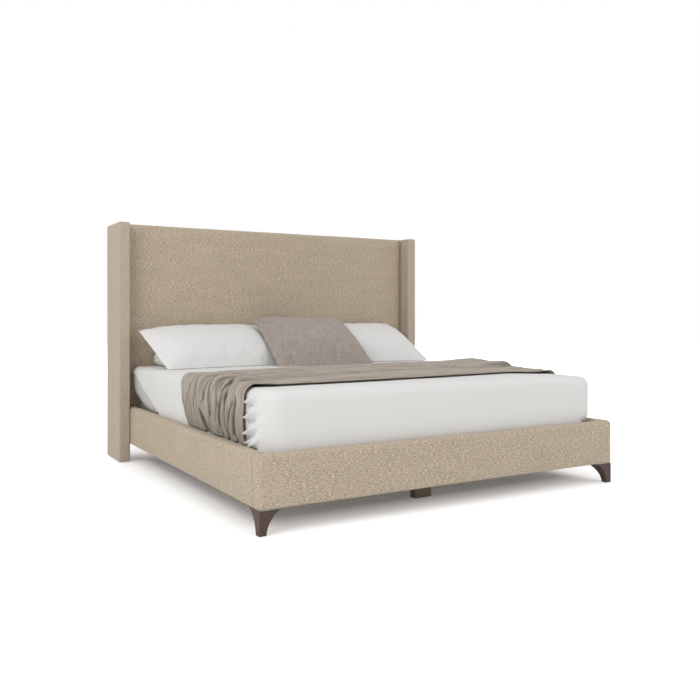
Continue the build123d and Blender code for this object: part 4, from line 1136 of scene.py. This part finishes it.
def buildPipingTree():
    tree, start = geometryTree("pipingAlongLoop", Radius=0.004, Spacing=0.02)
    even = addNode(tree, "GeometryNodeResampleCurve", {"Curve": start["Geometry"], "Length": start["Spacing"]},
                   mode="LENGTH").outputs["Curve"]
    ring = addNode(tree, "GeometryNodeCurvePrimitiveCircle", {"Resolution": 8, "Radius": start["Radius"]})
    sweep = addNode(tree, "GeometryNodeCurveToMesh", {"Curve": even, "Profile Curve": ring.outputs["Curve"]})
    rounded = addNode(tree, "GeometryNodeSetShadeSmooth", {"Geometry": sweep.outputs["Mesh"]})
    return closeTree(tree, rounded.outputs["Geometry"], start["Finish"])


def buildStapleTree():
    tree, start = geometryTree("staplesAlongLoop", Spacing=0.05, Crown=0.0105, Wire=0.0007)
    points = addNode(tree, "GeometryNodeCurveToPoints", {"Curve": start["Geometry"], "Length": start["Spacing"]},
                     mode="LENGTH").outputs
    size = joinNode(tree, start["Crown"], start["Wire"], start["Wire"])
    wire = addNode(tree, "GeometryNodeMeshCube", {"Size": size}).outputs["Mesh"]
    turn = addNode(tree, "FunctionNodeAlignRotationToVector", {"Vector": points["Tangent"]}, axis="X")
    sockets = {"Points": points["Points"], "Instance": wire, "Rotation": turn.outputs["Rotation"]}
    placed = addNode(tree, "GeometryNodeInstanceOnPoints", sockets).outputs["Instances"]
    return closeTree(tree, placed, start["Finish"])


def bakeTree(source, tree, values, name):
    modifier = source.modifiers.new("tree", "NODES")
    modifier.node_group = tree
    for item in tree.interface.items_tree:
        if item.item_type == "SOCKET" and item.in_out == "INPUT" and item.name in values:
            modifier[item.identifier] = values[item.name]
    bpy.context.view_layer.update()
    mesh = evaluatedMesh(source)
    source.modifiers.remove(modifier)
    bpy.data.objects.remove(source)
    mesh.name = name
    return addObject(name, mesh)


pipingSettings = dict(radius=0.0042, inset=0.004, corner=0.088, cuts=8, fromEdge=0.030, spacing=0.02)
stapleSettings = dict(inset=0.014, proud=0.0004, spacing=0.055, crown=0.0105, wire=0.0009)


def roundedLoop(low, high, corner, cuts, z):
    places = []
    for cx, cy, a0 in ((high[0] - corner, low[1] + corner, -90), (high[0] - corner, high[1] - corner, 0),
                       (low[0] + corner, high[1] - corner, 90), (low[0] + corner, low[1] + corner, 180)):
        for k in range(cuts + 1):
            a = math.radians(a0 + k * 90 / cuts)
            places.append((cx + corner * math.cos(a), cy + corner * math.sin(a), z))
    return places


piping = buildPipingTree()
p = pipingSettings
pipingLow = (mattressLow.x + p["inset"], mattressLow.y + p["inset"])
pipingHigh = (mattressHigh.x - p["inset"], mattressHigh.y - p["inset"])
for label, level in (("Upper", mattressHigh.z - p["fromEdge"]), ("Lower", mattressLow.z + p["fromEdge"])):
    loop = loopCurve("pipingLoop", roundedLoop(pipingLow, pipingHigh, p["corner"], p["cuts"], level))
    values = {"Radius": p["radius"], "Spacing": p["spacing"], "Finish": ticking}
    obj = bakeTree(loop, piping, values, "mattressPiping" + label)
    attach(obj, "mattress")

staples = buildStapleTree()
p = stapleSettings
x0, x1 = backLow.x + p["inset"], backHigh.x - p["inset"]
z0, z1 = backLow.z + p["inset"], backHigh.z - p["inset"]
rearFace = backHigh.y + p["proud"]
loop = loopCurve("stapleLoop", [(x0, rearFace, z0), (x1, rearFace, z0), (x1, rearFace, z1), (x0, rearFace, z1)])
values = {"Spacing": p["spacing"], "Crown": p["crown"], "Wire": p["wire"], "Finish": zincSteel}
obj = bakeTree(loop, staples, values, "backStaples")
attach(obj, "bed_frame")
print("piping and staples made")

# Floor, light and camera. The floor glows a little more away from the bed, which keeps it pale there
floorSettings = dict(size=40.0, colour=(0.96, 0.96, 0.96), half=(0.93, 0.86), reach=3.0,
                     glow=[(0.0, 0.10), (0.02, 0.18), (0.05, 0.28), (0.15, 0.38), (0.4, 0.5), (1.0, 0.8)])
floorMesh = bpy.data.meshes.new("floor")
h = floorSettings["size"] / 2
floorMesh.from_pydata([(-h, -h, 0), (h, -h, 0), (h, h, 0), (-h, h, 0)], [], [(0, 1, 2, 3)])
floor = addObject("floor", floorMesh)
floorMaterial, tree = newMaterial("paleFloor")
tree.nodes.clear()
diffuse = addNode(tree, "ShaderNodeBsdfDiffuse", {"Color": floorSettings["colour"]}).outputs[0]
placeParts = splitNode(tree, tree.nodes.new("ShaderNodeTexCoord").outputs["Object"])
squares = []
for placePart, half in zip(placeParts, floorSettings["half"]):
    beyond = mathNode(tree, "SUBTRACT", mathNode(tree, "ABSOLUTE", placePart), half)
    beyond = mathNode(tree, "MAXIMUM", beyond, 0.0)
    squares.append(times(tree, beyond, beyond))
away = mathNode(tree, "SQRT", plus(tree, *squares))
spread = rampNode(tree, mathNode(tree, "DIVIDE", away, floorSettings["reach"]), floorSettings["glow"])
toCamera = tree.nodes.new("ShaderNodeLightPath").outputs["Is Camera Ray"]
glow = addNode(tree, "ShaderNodeEmission", {"Strength": times(tree, toCamera, spread)}).outputs[0]
both = addNode(tree, "ShaderNodeAddShader", {0: diffuse, 1: glow}).outputs[0]
addNode(tree, "ShaderNodeOutputMaterial", {"Surface": both})
floorMesh.materials.append(floorMaterial)

worldSettings = dict(light=0.77, seen=1.0)
world = bpy.data.worlds.new("studio")
bpy.context.scene.world = world
world.use_nodes = True
tree = world.node_tree
background = next(n for n in tree.nodes if n.type == "BACKGROUND")
path = tree.nodes.new("ShaderNodeLightPath").outputs
mirrored = mathNode(tree, "MAXIMUM", path["Is Glossy Ray"], path["Is Transmission Ray"])
seen = mathNode(tree, "MAXIMUM", path["Is Camera Ray"], mirrored)
more = worldSettings["seen"] - worldSettings["light"]
feed(tree, background.inputs["Color"], (1, 1, 1))
feed(tree, background.inputs["Strength"], mathNode(tree, "MULTIPLY_ADD", seen, more, worldSettings["light"]))

lampSettings = [
    dict(name="keyLamp", at=(-4.6, -2.3, 3.6), to=(0, 0, 0.4), size=3.4, power=92),
    dict(name="fillLamp", at=(2.4, -4.6, 3.6), to=(0, 0, 0.4), size=3.4, power=42),
]
for lamp in lampSettings:
    data = bpy.data.lights.new(lamp["name"], "AREA")
    data.shape = "DISK"
    data.size = lamp["size"]
    data.energy = lamp["power"]
    obj = addObject(lamp["name"], data)
    obj.location = lamp["at"]
    obj.rotation_euler = (Vector(lamp["to"]) - Vector(lamp["at"])).to_track_quat("-Z", "Y").to_euler()

cameraSettings = dict(at=(-2.3934, -4.1161, 0.9218), turn=-30.73, lens=40.31, sensor=36.0, shift=-0.0496)
cameraData = bpy.data.cameras.new("camera")
cameraData.lens = cameraSettings["lens"]
cameraData.sensor_width = cameraSettings["sensor"]
cameraData.shift_y = cameraSettings["shift"]
camera = addObject("camera", cameraData)
camera.location = cameraSettings["at"]
camera.rotation_euler = (math.radians(90), 0, math.radians(cameraSettings["turn"]))
bpy.context.scene.camera = camera
bpy.context.scene.view_settings.view_transform = "Standard"
print("floor, light and camera set")
